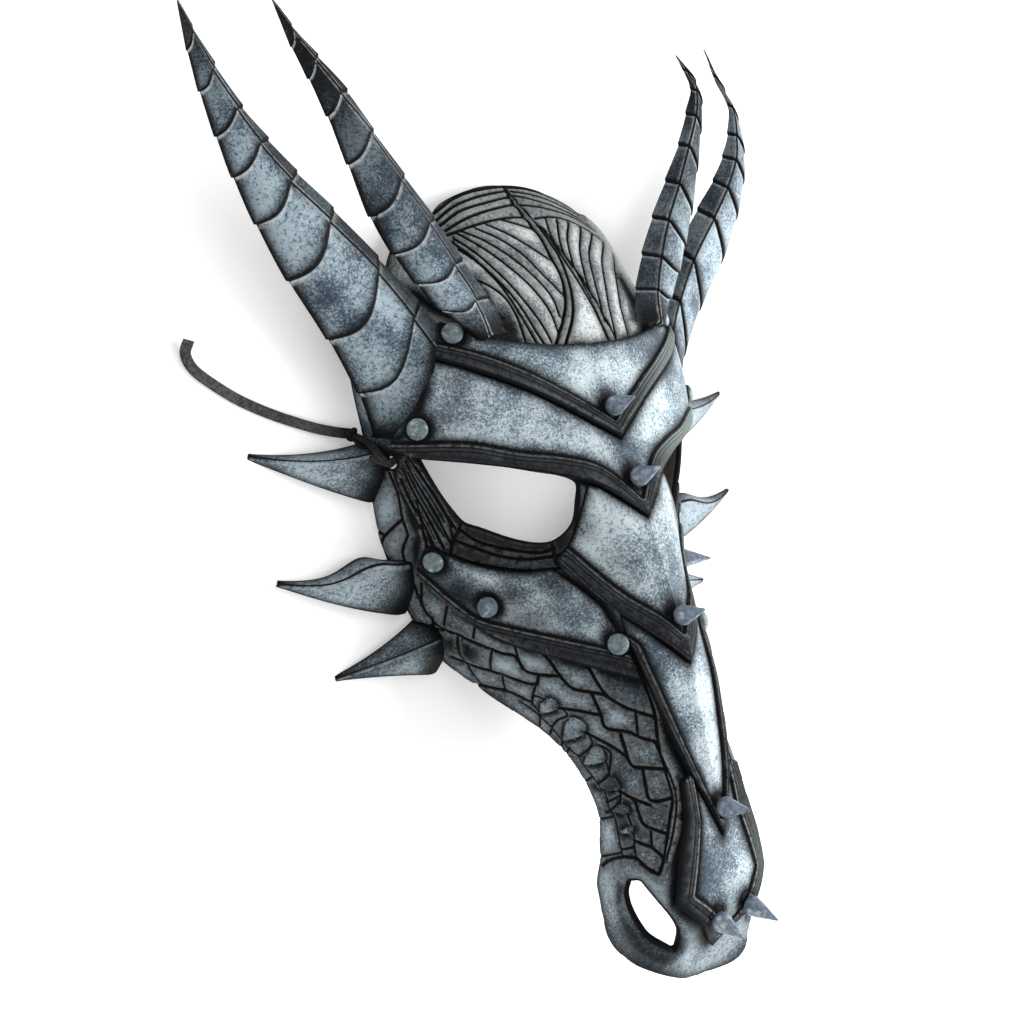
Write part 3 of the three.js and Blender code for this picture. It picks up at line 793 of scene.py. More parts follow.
    def build(self) -> Piece:
        """Lays the cut pattern on the skin as a closed sheet.

        Returns:
            The object with its groove, shade, band, rub and back attributes.
        """
        flat, faces = self.cut()
        plain, under = self.cut(fine=False)
        made = self.layers(flat)
        lift = np.maximum(self.top + made[Layer.HEIGHT], self.low + self.THINNEST)
        count, unworked = len(flat), np.zeros(len(plain))
        points = np.vstack([self.skin.lift(flat[:, 0], flat[:, 1], lift),
                            self.skin.lift(plain[:, 0], plain[:, 1], unworked + self.low)])
        ridge = np.concatenate([flat[:, 0], plain[:, 0]]) < ON_RIDGE
        below = {tuple(p): count + i for i, p in enumerate(np.round(plain, 3).tolist())}
        partner = [below.get(tuple(p), -1) for p in np.round(flat, 3).tolist()]
        triangles = [tuple(f) for f in faces] + [(c + count, b + count, a + count) for a, b, c in under]
        rim_edges = open_edges(faces)
        for a, b in rim_edges:
            if self.side or not (ridge[a] and ridge[b]):
                triangles += [(b, a, partner[a]), (b, partner[a], partner[b])]
        layers = {layer.value: np.concatenate([made[layer], unworked]) for layer in PAINTED}
        layers[BACK] = np.concatenate([np.zeros(count), unworked + 1])
        rim_below = [partner[a] for a, _ in rim_edges]
        layers[BACK][rim_below] = 0
        layers[Layer.GROOVE.value][rim_below] = 1
        if self.side == 0:
            points[ridge, 0] = 0
            points, triangles, layers = both_halves(points, triangles, layers, ridge)
        elif self.side < 0:
            points = points * [-1, 1, 1]
            triangles = [t[::-1] for t in triangles]
        return write_mesh(self.name, points, triangles, layers)


def thinned(points: Points, apart: float) -> Points:
    """The points without those that share a small cell with an earlier one.

    Args:
        points: points as rows.
        apart: the cell's size.

    Returns:
        The points that are left.
    """
    cells = np.floor(points / apart).astype(np.int64)
    _, first = np.unique(cells, axis=0, return_index=True)
    return points[np.sort(first)]


def far_from(points: Points, others: Points, apart: float) -> Points:
    """The points that keep a distance from all the others.

    Args:
        points: points as rows.
        others: the points to keep away from.
        apart: the distance to keep.

    Returns:
        The points that are left.
    """
    cells: dict[tuple[int, int], list[int]] = {}
    for i, key in enumerate(map(tuple, np.floor(others / apart).astype(int).tolist())):
        cells.setdefault(key, []).append(i)
    keep = []
    for p, (kx, ky) in zip(points, np.floor(points / apart).astype(int).tolist()):
        near = [i for dx in (-1, 0, 1) for dy in (-1, 0, 1) for i in cells.get((kx + dx, ky + dy), ())]
        keep.append(not near or ((others[near] - p) ** 2).sum(1).min() > apart**2)
    return points[np.array(keep, bool)]


def off_ridge(ring: Points) -> list[Points]:
    """The runs of a closed ring that don't lie along the ridge.

    Args:
        ring: a closed ring of points.

    Returns:
        The runs.
    """
    runs, run = [], [ring[0]]
    for a, b in zip(ring[:-1], ring[1:]):
        if a[0] < ON_RIDGE and b[0] < ON_RIDGE:
            runs.append(run)
            run = [b]
        else:
            run.append(b)
    return [np.array(run) for run in (*runs, run) if len(run) > 1]


def open_edges(faces: Iterable[Face]) -> list[tuple[int, int]]:
    """Edges used by one face only, in that face's direction.

    Args:
        faces: faces as rows of point numbers.

    Returns:
        Pairs of point numbers.
    """
    seen: dict[tuple[int, int], None] = {}
    for f in faces:
        for a, b in zip(f, (*f[1:], f[0])):
            if (b, a) in seen:
                del seen[(b, a)]
            else:
                seen[(a, b)] = None
    return list(seen)


def both_halves(points: Points, faces: list[Face], layers: dict[str, Points],
                ridge: Points) -> tuple[Points, list[Face], dict[str, Points]]:
    """Mirrors one half onto the other side and welds them along the ridge.

    Args:
        points: vertices of the half with positive x.
        faces: its faces.
        layers: its attributes.
        ridge: whether each vertex lies on the ridge.

    Returns:
        The whole mesh's points, faces and attributes.
    """
    count = len(points)
    other = np.full(count, -1)
    other[ridge] = np.where(ridge)[0]
    rest = np.where(~ridge)[0]
    other[rest] = count + np.arange(len(rest))
    mirrored = [tuple(int(other[v]) for v in reversed(f)) for f in faces]
    whole = np.vstack([points, points[rest] * [-1, 1, 1]])
    return whole, list(faces) + mirrored, {k: np.concatenate([v, v[rest]]) for k, v in layers.items()}


def half(*sides: Line) -> Points:
    """Half an outline: smooth lines joined end to end, then closed along the ridge.

    Args:
        sides: the sides, in order.

    Returns:
        The outline.
    """
    lines = [flow(side) for side in sides]
    start, end = lines[0][0], lines[-1][-1]
    if abs(start[0]) < ON_RIDGE and abs(end[0]) < ON_RIDGE:
        lines.append(flow([tuple(end), tuple(start)]))
    return joined(*lines)


def both(*sides: Line) -> Points:
    """A closed outline on both sides of the ridge, from lines that start and end on it."""
    line = joined(*flows(sides))
    return joined(line, line[::-1] * [-1, 1])


def lowered(line: Line, by: float = 0.5) -> Line:
    """A line moved down the mask."""
    return [(a, u - by) for a, u in line]


def turned(line: Line) -> Line:
    """A line run the other way."""
    return line[::-1]


FACE = Skin(FACE_SECTIONS, 175)
CROWN = Skin(CROWN_SECTIONS, 125)

# Colours and node trees
Colour = tuple[float, float, float, float]
Ramp = tuple[float, float]
Socket = bpy.types.NodeSocket
VALUE, VECTOR, GEOMETRY, WHOLE = (f"NodeSocket{kind}" for kind in ("Float", "Vector", "Geometry", "Int"))


def paint(red: int, green: int, blue: int) -> Colour:
    """A colour given as it looks, 0 to 255, turned into light values.

    Args:
        red: red, 0 to 255.
        green: green, 0 to 255.
        blue: blue, 0 to 255.

    Returns:
        The colour.
    """
    def light(value: float) -> float:
        """One channel as light."""
        value /= 255
        return value / 12.92 if value <= 0.04045 else ((value + 0.055) / 1.055) ** 2.4

    return light(red), light(green), light(blue), 1.0


class Noise(Enum):
    """Scale, detail and roughness of each cloudy noise."""

    CLOUDS = (30, 3, 0.55)
    RAGGED = (560, 8, 0.85)
    SPECKS = (1000, 4, 0.8)
    PORES = (1.7, 3, 0.55)
    UNEVEN = (0.09, 2, 0.55)
    BREAKS = (420, 5, 0.7)
    SCRATCHES = (700, 2, 0.55)
    FRAY = (650, 5, 0.75)
    SHEEN = (95, 5, 0.65)
    HIDE = (120, 4, 0.55)
    HANDLED = (240, 3, 0.55)
    PATINA = (500, 4, 0.55)
    SCUFFS = (330, 2, 0.55)
    CAST = (900, 3, 0.55)
    PITS = (1400, 4, 0.55)


class Wires:
    """Adds nodes to a tree and joins them."""

    def __init__(self, tree: Tree) -> None:
        """Starts on a tree."""
        self.tree = tree

    def add(self, kind: str, inputs: Optional[dict] = None, **settings) -> bpy.types.Node:
        """Adds one node.

        Args:
            kind: the node's type.
            inputs: value or socket for each input, by name or number.
            settings: the node's own settings.

        Returns:
            The node.
        """
        node = self.tree.nodes.new(kind)
        for key, value in settings.items():
            setattr(node, key, value)
        for key, value in (inputs or {}).items():
            if isinstance(value, Socket):
                self.tree.links.new(value, node.inputs[key])
            else:
                node.inputs[key].default_value = value
        return node

    def out(self, kind: str, inputs: Optional[dict] = None, **settings) -> Socket:
        """Adds one node and gives its first output."""
        return self.add(kind, inputs, **settings).outputs[0]

    def math(self, operation: str, *values, clamp: bool = False) -> Socket:
        """One sum on numbers or sockets."""
        return self.out("ShaderNodeMath", dict(enumerate(values)), operation=operation, use_clamp=clamp)

    def times(self, first, second) -> Socket:
        """The product of two numbers or sockets."""
        return self.math("MULTIPLY", first, second)

    def plus(self, first, second, clamp: bool = False) -> Socket:
        """The sum of two numbers or sockets."""
        return self.math("ADD", first, second, clamp=clamp)

    def mix(self, amount, first, second) -> Socket:
        """Blends two colours."""
        return self.add("ShaderNodeMix", {0: amount, 6: first, 7: second}, data_type="RGBA").outputs[2]

    def noise(self, vector, kind: Noise, unit=1) -> Socket:
        """Cloudy noise from 0 to 1, its scale counted in a unit.

        Args:
            vector: where to read the noise.
            kind: which noise it is.
            unit: the unit that its scale is counted in.

        Returns:
            The noise's socket.
        """
        scale, detail, roughness = kind.value
        scale = self.times(unit, scale) if isinstance(unit, Socket) else scale
        return self.out("ShaderNodeTexNoise", {"Vector": vector, "Scale": scale, "Detail": detail,
                                               "Roughness": roughness})

    def ramp(self, value, low: float, high: float) -> Socket:
        """Maps low..high to 0..1, eased."""
        return self.out("ShaderNodeMapRange", {0: value, 1: low, 2: high}, interpolation_type="SMOOTHSTEP")

    def read(self, attribute: str) -> Socket:
        """A mesh attribute, as a value."""
        return self.add("ShaderNodeAttribute", attribute_name=attribute).outputs["Fac"]


def group(name: str, inputs: dict[str, str], outputs: dict[str, str],
          kind: str = "ShaderNodeTree") -> tuple[Wires, bpy.types.Node]:
    """Starts a node group.

    Args:
        name: the group's name.
        inputs: socket type of each input, by name.
        outputs: socket type of each output, by name.
        kind: the tree's type.

    Returns:
        Its wires and its input node.
    """
    tree = bpy.data.node_groups.new(name, kind)
    for way, sockets in (("INPUT", inputs), ("OUTPUT", outputs)):
        for key, socket in sockets.items():
            tree.interface.new_socket(key, in_out=way, socket_type=socket)
    wires = Wires(tree)
    return wires, wires.add("NodeGroupInput")


@dataclass(frozen=True)
class SpongedPaint:
    """Sponged paint: slow clouds, ragged mottling inside them, and small flecks."""

    cloud_share: float = 0.2
    ragged_share: float = 0.45
    gate: float = 0.36
    cloud_gate: float = 0.48
    amount_gate: float = 0.1
    fleck_ramp: Ramp = (-0.03, 0.05)
    mottle_ramp: Ramp = (0.435, 0.53)

    def tree(self) -> Tree:
        """The paint as a group.

        Returns:
            The group.
        """
        w, source = group("sponged paint", {"Vector": VECTOR, "Amount": VALUE},
                          {"Flecks": VALUE, "Mottle": VALUE})
        cloud, ragged, specks = (w.noise(source.outputs["Vector"], kind)
                                 for kind in (Noise.CLOUDS, Noise.RAGGED, Noise.SPECKS))
        mottle = w.plus(w.times(cloud, self.cloud_share), w.times(ragged, 1 - self.cloud_share))
        gate = w.math("SUBTRACT", self.gate, w.times(source.outputs["Amount"], self.amount_gate))
        gate = w.math("MULTIPLY_ADD", cloud, self.cloud_gate, gate)
        speckled = w.math("MULTIPLY_ADD", ragged, self.ragged_share, w.times(specks, 1 - self.ragged_share))
        w.add("NodeGroupOutput", {"Flecks": w.ramp(w.math("SUBTRACT", speckled, gate), *self.fleck_ramp),
                                  "Mottle": w.ramp(mottle, *self.mottle_ramp)})
        return w.tree


@dataclass(frozen=True)
class LeatherGrain:
    """Leather grain: small cells, pores and a slow unevenness."""

    cell_height: float = 0.5
    pore_height: float = 0.6
    uneven_height: float = 1.6

    def tree(self) -> Tree:
        """The grain as a group.

        Returns:
            The group.
        """
        w, source = group("leather grain", {"Vector": VECTOR, "Scale": VALUE}, {"Height": VALUE})
        vector, scale = source.outputs["Vector"], source.outputs["Scale"]
        cells = w.out("ShaderNodeTexVoronoi", {"Vector": vector, "Scale": scale}, feature="SMOOTH_F1")
        pores, uneven = w.noise(vector, Noise.PORES, scale), w.noise(vector, Noise.UNEVEN, scale)
        height = w.plus(w.times(cells, self.cell_height), w.times(pores, self.pore_height))
        w.add("NodeGroupOutput", {"Height": w.plus(height, w.times(uneven, self.uneven_height))})
        return w.tree


@dataclass(frozen=True)
class WearAndGlints:
    """Thin pale scratches and rubs, and on leather the painted glints along lips and edges."""

    break_ramp: Ramp = (0.34, 0.56)
    scratch_ramp: Ramp = (0.66, 0.74)
    scratch_strength: float = 0.07
    stretch: Spot = (1.0, 0.16, 1.0)

    def tree(self) -> Tree:
        """Scratches, rubs and glints as a group.

        Returns:
            The group.
        """
        w, source = group("rubbed wear", {"Vector": VECTOR, "Rub": VALUE}, {"WearAndGlint": VALUE})
        vector = source.outputs["Vector"]
        rub = w.times(source.outputs["Rub"], w.ramp(w.noise(vector, Noise.BREAKS), *self.break_ramp))
        stretched = w.out("ShaderNodeMapping", {"Vector": vector, "Scale": self.stretch})
        scratch = w.ramp(w.noise(stretched, Noise.SCRATCHES), *self.scratch_ramp)
        wear_and_glint = w.math("MAXIMUM", rub, w.times(scratch, self.scratch_strength), clamp=True)
        w.add("NodeGroupOutput", {"WearAndGlint": wear_and_glint})
        return w.tree


@dataclass(frozen=True)
class SharedGroups:
    """The shader groups that the finishes share."""

    sponge: Tree
    grain: Tree
    wear_and_glint: Tree


def blank_material(name: str) -> tuple[Material, Wires, Socket]:
    """A material with an empty tree, its wires and the place on the object.

    Args:
        name: the material's name.

    Returns:
        The material, its wires and the place's socket.
    """
    made = bpy.data.materials.new(name)
    made.use_nodes = True
    made.node_tree.nodes.clear()
    w = Wires(made.node_tree)
    return made, w, w.add("ShaderNodeTexCoord").outputs["Object"]


@dataclass(frozen=True)
class LeatherFinish:
    """Painted, antiqued leather: a pale coat sponged with dark, black wiped into the tooling, painted shade
    and glints.
    """

    name: str
    pale: Colour
    deep: Colour
    fleck: Colour
    band: Colour
    # Pale colour of rubs and painted glints
    rub: Colour = paint(225, 230, 232)
    black: Colour = paint(11, 12, 14)
    raw: Colour = paint(60, 50, 42)
    raw_dark: Colour = paint(38, 34, 31)
    # Painted light: the paler colour of the bands on the wearer's left
    paler_tone: Colour = paint(128, 140, 138)
    flecks: float = 0.6
    fleck_strength: float = 0.8
    fray: float = 0.8
    # How strongly rubs and painted glints show
    wear_and_glint_strength: float = 0.75
    sheen: float = 0.25
    # How far painted light lifts the bands on the wearer's left
    left_painted_light: float = 0.0
    ink: tuple[float, float] = (0.33, 0.68)
    roughness: float = 0.54
    gloss: float = 0.06
    metal: float = 0.12
    grain: float = 900
    bump: float = 0.25

    DUSK_RAMP = (0.02, 0.85)
    SHEEN_RAMP = (0.52, 0.78)
    LEFT_RAMP = (0.008, 0.05)
    BAND_RAMP = (0.2, 1.0)
    INK_FRAY = 0.18
    DUSK_DULL, BAND_DULL = 0.8, 0.75
    ROUGH_SPREAD, ROUGH_DARK = 0.22, 0.2
    SPECULAR, COAT_ROUGHNESS = 0.08, 0.35
    BUMP_DEPTH = 0.0004

    def band_coat(self, w: Wires, place: Socket, gloom: Socket) -> Socket:
        """The dark paint of the bands, with a painted sheen, and painted light that turns them paler on the
        wearer's left.

        Args:
            w: the material's wires.
            place: the place on the mask.
            gloom: how dark the shade layer is, airbrushed black and painted shade.

        Returns:
            The bands' colour.
        """
        sheen = w.times(w.ramp(w.noise(place, Noise.SHEEN), *self.SHEEN_RAMP), self.sheen)
        across = w.out("ShaderNodeSeparateXYZ", {"Vector": place})
        band = w.mix(sheen, self.band, self.deep)
        # Painted light: the bands turn paler toward the wearer's left, as if lit from that side
        band = w.mix(w.times(w.ramp(across, *self.LEFT_RAMP), self.left_painted_light), band, self.paler_tone)
        return w.mix(w.ramp(gloom, *self.BAND_RAMP), band, self.black)

    def material(self, shared: SharedGroups) -> Material:
        """Builds the material.

        Args:
            shared: the groups that it uses.

        Returns:
            The material.
        """
        made, w, place = blank_material(self.name)
        read = {mark: w.read(mark) for mark in MARKS}
        gloom = read["shade"]
        sponge = w.add("ShaderNodeGroup", {"Vector": place, "Amount": w.plus(gloom, self.flecks)},
                       node_tree=shared.sponge)
        wear_and_glint = w.out("ShaderNodeGroup", {"Vector": place, "Rub": read["rub"]}, node_tree=shared.wear_and_glint)
        grain = w.out("ShaderNodeGroup", {"Vector": place, "Scale": self.grain}, node_tree=shared.grain)
        fray = w.math("MULTIPLY_ADD", w.noise(place, Noise.FRAY), self.fray, -self.fray / 2)
        dusk = w.plus(gloom, w.times(fray, gloom))
        ink = w.ramp(w.plus(read["groove"], w.times(fray, self.INK_FRAY)), *self.ink)

        coat = w.mix(sponge.outputs["Mottle"], self.deep, self.pale)
        coat = w.mix(w.times(sponge.outputs["Flecks"], self.fleck_strength), coat, self.fleck)
        # The shade layer, airbrushed black and painted shade, darkens the coat toward black
        coat = w.mix(w.ramp(dusk, *self.DUSK_RAMP), coat, self.black)
        coat = w.mix(read["band"], coat, self.band_coat(w, place, gloom))
        # Pale rubs and painted glints, broken up, mixed over the coat
        coat = w.mix(w.times(wear_and_glint, self.wear_and_glint_strength), coat, self.rub)
        coat = w.mix(ink, coat, self.black)
        coat = w.mix(read[BACK], coat, w.mix(w.noise(place, Noise.HIDE), self.raw, self.raw_dark))

        dark = w.math("MAXIMUM", ink, w.times(dusk, self.DUSK_DULL), clamp=True)
        dark = w.math("MAXIMUM", dark, w.times(read["band"], self.BAND_DULL))
        rough = w.math("MULTIPLY_ADD", w.noise(place, Noise.HANDLED), self.ROUGH_SPREAD,
                       self.roughness - self.ROUGH_SPREAD / 2)
        rough = w.plus(rough, w.times(dark, self.ROUGH_DARK), clamp=True)
        bare = w.math("SUBTRACT", 1.0, w.math("MAXIMUM", dark, read[BACK]), clamp=True)
        bump = w.out("ShaderNodeBump",
                     {"Strength": self.bump, "Distance": self.BUMP_DEPTH, "Height": grain})
        skin = w.out("ShaderNodeBsdfPrincipled", {
            "Base Color": coat, "Roughness": rough, "Metallic": w.times(bare, self.metal), "Normal": bump,
            "Specular IOR Level": self.SPECULAR, "Coat Roughness": self.COAT_ROUGHNESS,
            "Coat Weight": w.times(bare, self.gloss)})
        w.add("ShaderNodeOutputMaterial", {"Surface": skin})
        return made


@dataclass(frozen=True)
class MetalFinish:
    """Cast metal studs with a dull patina, pale scuffs, and painted shade at their feet."""

    name: str
    bright: Colour
    dull: Colour
    roughness: float
    metal: float
    scuff: Colour = paint(232, 236, 238)
    # Painted shade at the foot of each stud
    painted_foot_shade: Colour = paint(20, 21, 24)

    PATINA_RAMP = (0.3, 0.7)
    SCUFF_RAMP = (0.55, 0.7)
    WORN = 0.4
    ROUGH_SPREAD, ROUGH_LOW = 0.25, 0.1
    BUMP, BUMP_DEPTH = 0.15, 0.0002

    def material(self, shared: SharedGroups) -> Material:
        """Builds the material.

        Args:
            shared: the groups that it uses.

        Returns:
            The material.
        """
        made, w, place = blank_material(self.name)
        paler_tone = w.ramp(w.noise(place, Noise.SCUFFS), *self.SCUFF_RAMP)
        wear_and_glint = w.out("ShaderNodeGroup", {"Vector": place, "Rub": paler_tone}, node_tree=shared.wear_and_glint)
        coat = w.mix(w.ramp(w.noise(place, Noise.PATINA), *self.PATINA_RAMP), self.dull, self.bright)
        coat = w.mix(w.times(wear_and_glint, self.WORN), coat, self.scuff)
        # Painted shade at the stud's foot, read from its groove attribute
        coat = w.mix(w.read("groove"), coat, self.painted_foot_shade)
        rough = w.math("MULTIPLY_ADD", w.noise(place, Noise.CAST), self.ROUGH_SPREAD,
                       self.roughness - self.ROUGH_LOW)
        bump = w.out("ShaderNodeBump", {"Strength": self.BUMP, "Distance": self.BUMP_DEPTH,
                                        "Height": w.noise(place, Noise.PITS)})
        skin = w.out("ShaderNodeBsdfPrincipled", {"Base Color": coat, "Roughness": rough,
                                                  "Metallic": self.metal, "Normal": bump})
        w.add("ShaderNodeOutputMaterial", {"Surface": skin})
        return made


@dataclass(frozen=True)
class Finishes:
    """Every finish of the mask as a material."""

    plate: Material
    face: Material
    crown: Material
    horn: Material
    rivet: Material
    cone: Material
    lace: Material


def make_finishes() -> Finishes:
    """Mixes the finishes.

    Returns:
        The finishes.
    """
    mixes = {
        "plate": LeatherFinish("plate_leather", paint(194, 207, 212), paint(94, 116, 130),
                               paint(36, 49, 66), paint(25, 28, 32), left_painted_light=0.6),
        "face": LeatherFinish("face_leather", paint(158, 172, 180), paint(84, 98, 106), paint(26, 30, 37),
                              paint(15, 17, 20), flecks=0.4, fray=0.3, wear_and_glint_strength=0.5, sheen=0.1,
                              ink=(0.4, 0.78)),
        "crown": LeatherFinish("crown_leather", paint(204, 209, 209), paint(116, 127, 129),
                               paint(34, 38, 40), paint(13, 15, 17), flecks=0.3, fray=0.4, wear_and_glint_strength=0.5,
                               ink=(0.25, 0.6)),
        "horn": LeatherFinish("horn_leather", paint(162, 178, 187), paint(72, 91, 106), paint(28, 37, 50),
                              paint(15, 17, 21), flecks=0.5, fray=0.5),
        "rivet": MetalFinish("rivet_metal", paint(108, 123, 128), paint(76, 90, 95), 0.5, 0.2),
        "cone": MetalFinish("cone_metal", paint(130, 143, 158), paint(92, 104, 120), 0.4, 0.35),
        "lace": LeatherFinish("lace_leather", paint(84, 84, 82), paint(48, 48, 48), paint(20, 20, 22),
                              paint(20, 20, 22), raw=paint(40, 34, 30), flecks=0.2, metal=0.0, grain=1500,
                              bump=0.4, roughness=0.62, gloss=0.0, wear_and_glint_strength=0.15),
    }
    shared = SharedGroups(SpongedPaint().tree(), LeatherGrain().tree(), WearAndGlints().tree())
    return Finishes(**{part: mix.material(shared) for part, mix in mixes.items()})


def dress(piece: Piece, material: Material, slot: str, *nodes: str) -> None:
    """Gives a piece its finish and says which nodes it stands for.

    Args:
        piece: the finished piece.
        material: its material.
        slot: the record's material slot; not used.
        nodes: the solid nodes that it replaces.
    """
    piece.data.materials.clear()
    piece.data.materials.append(material)
    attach(piece, "root")
    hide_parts(*nodes)
    LOG.info("%s: %d faces, stands for %s", piece.name, len(piece.data.polygons), ", ".join(nodes))


@dataclass
class Plates:
    """The armour plates from the brow down to the nose, and the two cheek plates."""

    band_rise: float = BAND_TOP - PLATE_TOP
    border_rise: float = BORDER_TOP - PLATE_TOP
    spacing: float = 1.9
    band_width: float = 3

    def plate(self, name: str, outline: Points, *reliefs: Relief, side: int = 0) -> Sheet:
        """One plate over the face."""
        return Sheet(name, FACE, outline, PLATE_BOTTOM, PLATE_TOP, list(reliefs), spacing=self.spacing,
                     side=side)

    def band(self, upper: Line, *sides: Line, seam: Line) -> Raised:
        """The raised band along a plate's lower seam."""
        return Raised(both(upper, *sides, turned(lowered(seam, self.band_width))), self.band_rise)

    def brow(self) -> list[Sheet]:
        """The two V plates over the eyes.

        Returns:
            The upper and the lower plate.
        """
        return [
            self.plate("brow_plate_upper",
                       half(BROW_TOP, [(67, 79.5), (75.5, 71)], [(75.5, 71), (76, 65)], turned(BROW_SEAM)),
                       self.band(BROW_BAND, [(76, 72), (90, 60)], seam=BROW_SEAM),
                       Seats(((64, 73.5), (0, 36.5))),
                       # Painted shade along the top edge, where it meets the crown, and in spots near the
                       # horn
                       ShadeAndAirbrush((flow(BROW_TOP),), 2.4, 0.7, ((70, 72, 13, 0.55), (46, 66, 14, 0.35)))),
            self.plate("brow_plate_lower",
                       half(lowered(BROW_SEAM), [(76, 64.5), (81, 55), (87, 45.5)],
                            [(87, 45.5), (99, 35.5)], [(99, 35.5), (102, 32)], [(102, 32), (91, 26)],
                            turned(EYE_BROW)),
                       self.band(EYE_BAND, [(100, 33), (110, 30)], [(110, 30), (110, 20)], seam=EYE_BROW),
                       Seats(((87, 37.3), (0, 6))),
                       # Painted shade where the horn's foot lies on the plate, and in spots round it
                       ShadeAndAirbrush((flow(HORN_FOOT),), 3.4, 1.0,
                                ((94, 40, 13, 0.6), (66, 60, 12, 0.45), (80, 34, 20, 0.3)))),
        ]

    def nose(self) -> list[Sheet]:
        """The plates from between the eyes down to the nose.

        Returns:
            The plates, top down.
        """
        ridge_band = both([(0, -136), (5, -124.5), (8.5, -113), (12, -99), (16, -80), (19.5, -60)],
                          [(19.5, -60), (30, -50)], [(30, -50), (30, -124)], [(30, -124), (0, -150)])
        inner = both([(10, -105), (11.2, -134)], [(11.2, -134), (19.2, -163)], [(19.2, -163), (0, -183)])
        corners = [(-10, -105), (-35, -105), (-35, -170), (0, -200), (35, -170), (35, -105), (10, -105)]
        border = joined(inner, *flows(zip(corners, corners[1:])))
        return [
            self.plate("nose_plate",
                       half(lowered(EYE_BROW[:2]), [(18, 4.5), (23, 6.5)],
                            [(23, 6.5), (33, -11), (38, -17.5)], [(38, -17.5), (44, -22)],
                            turned(NOSE_SEAM)),
                       self.band(NOSE_BAND, [(38, -17.5), (60, -17)], [(60, -17), (60, -24)],
                                 seam=NOSE_SEAM),
                       Seats(((0, -52),)),
                       # Painted shade in spots toward the eye corner and the cheek
                       ShadeAndAirbrush(spots=((30, -10, 9, 0.5), (38, -20, 10, 0.5), (20, -28, 20, 0.3)))),
            self.plate("ridge_plate",
                       half(lowered(NOSE_SEAM[:2]), [(17, -54), (24, -47.5)], [(24, -47.5), (24, -56)],
                            turned(RIDGE_SEAM)),
                       Raised(ridge_band, self.band_rise), Seats(((0, -131),)),
                       # Painted shade near the end of the nose band
                       ShadeAndAirbrush(spots=((22, -54, 10, 0.5),))),
            self.plate("snout_plate",
                       half(lowered(RIDGE_SEAM[:3]), [(12, -114.5), (17, -117)], SNOUT_OUTER,
                            [(28, -165), (0, -193.5)]),
                       Raised(border, self.border_rise, glint=0.6), Seats(((9.5, -175),), strength=0.8),
                       # Painted shadow between the snout's cones
                       ShadeAndAirbrush(spots=((0, -178, 10, 0.5),))),
        ]

    def cheeks(self) -> list[Sheet]:
        """The plate below each eye.

        Returns:
            The left and the right plate.
        """
        outline = half(CHEEK_TOP, [(46, -26), (31, -42.5), (27.5, -52), (24.5, -60)],
                       [(24.5, -60), (22.5, -75)], turned(CHEEK_LOW), [(103, -24), (101, -18)],
                       [(101, -18), (95, -11)])
        low = lowered(CHEEK_LOW, self.band_width)
        band = joined(*flows((CHEEK_BAND, [(20, -66), (10, -90)], turned(low), [(112, -24), (103, -18)])))
        reliefs = (Raised(band, self.border_rise), Seats(((93.5, -17.5), (76, -38.4), (28, -59.5))),
                   # Painted shade along the band's upper edge and in spots over the plate
                   ShadeAndAirbrush((flow(CHEEK_BAND),), 4.5, 0.9,
                            ((96, -16, 16, 0.85), (62, -50, 16, 0.6), (46, -30, 12, 0.6),
                             (88, -34, 14, 0.7),
                             (66, -36, 12, 0.55), (50, -44, 30, 0.35))))
        return [self.plate(f"cheek_plate_{side}", outline, *reliefs, side=sign)
                for side, sign in (("left", 1), ("right", -1))]

    def build(self, finishes: Finishes) -> None:
        """Makes and dresses every plate.

        Args:
            finishes: the finishes to dress with.
        """
        for sheet in self.brow() + self.nose() + self.cheeks():
            node = sheet.name
            sheet.name = f"{node}_tooled"
            dress(sheet.build(), finishes.plate, "plate_leather", node)


# Tooled lines of the face, on one side, from the rows of scales below the cheek to the muzzle
SCALE_ROWS: tuple[Line, ...] = (
    [(101.4, -49.3), (95.7, -52.3), (88.4, -56.1), (78.4, -60.4), (72.6, -61.9), (70.4, -68.5),
     (56.4, -70.6)],
    [(103.1, -63.1), (97, -66.5), (84, -70.5), (68.6, -74.7), (65.1, -70.3)],
    [(101.6, -76.8), (91.6, -77.7), (82.8, -79.5), (75.5, -83.3), (72.6, -87.3)],
    [(60.3, -60.3), (58, -64.2), (55.3, -71), (51.9, -75.8), (44.4, -77.8), (39, -79.3), (36.3, -81.6)],
    [(42.3, -68.1), (40.8, -73.5), (38.8, -78.5), (36.3, -81.6), (29.9, -85.8), (20.8, -89.8)],
    [(44.4, -77.8), (42.6, -87.5), (42.4, -92.1), (40.6, -93.5), (32.7, -95.1), (28.4, -97.5),
     (21.1, -100)],
    [(61.3, -84.8), (52.8, -85.5), (43.4, -87.5)],
    [(36.2, -95.8), (35.8, -101.1), (34.9, -108.4), (29.4, -109.5), (20.4, -110.9)],
    [(51.8, -95), (45.9, -97.9), (40.7, -100.9), (36.3, -104.7)],
    [(30.6, -109.4), (31.3, -116.1), (31, -122.4), (20.6, -122.4)],
    [(43.8, -118.7), (37.8, -121.8), (31.4, -124.4)],
    [(37.6, -122.6), (37.2, -127.8), (36, -132.2), (32.6, -133.9), (26.5, -136.5)],
    [(41.3, -138.7), (34.3, -141.6), (29.7, -145.9)],
    [(20.7, -78.7), (19.8, -89.1), (21.1, -100), (21, -113.2), (20.6, -122.4), (23.4, -128.8),
     (26.1, -136.5),
     (29.3, -145.5), (32.8, -152.5)],
    [(32.8, -152.5), (38, -149.1), (41.6, -145.9), (47.9, -145.6), (57.1, -148.3), (64.4, -152.4)],
)
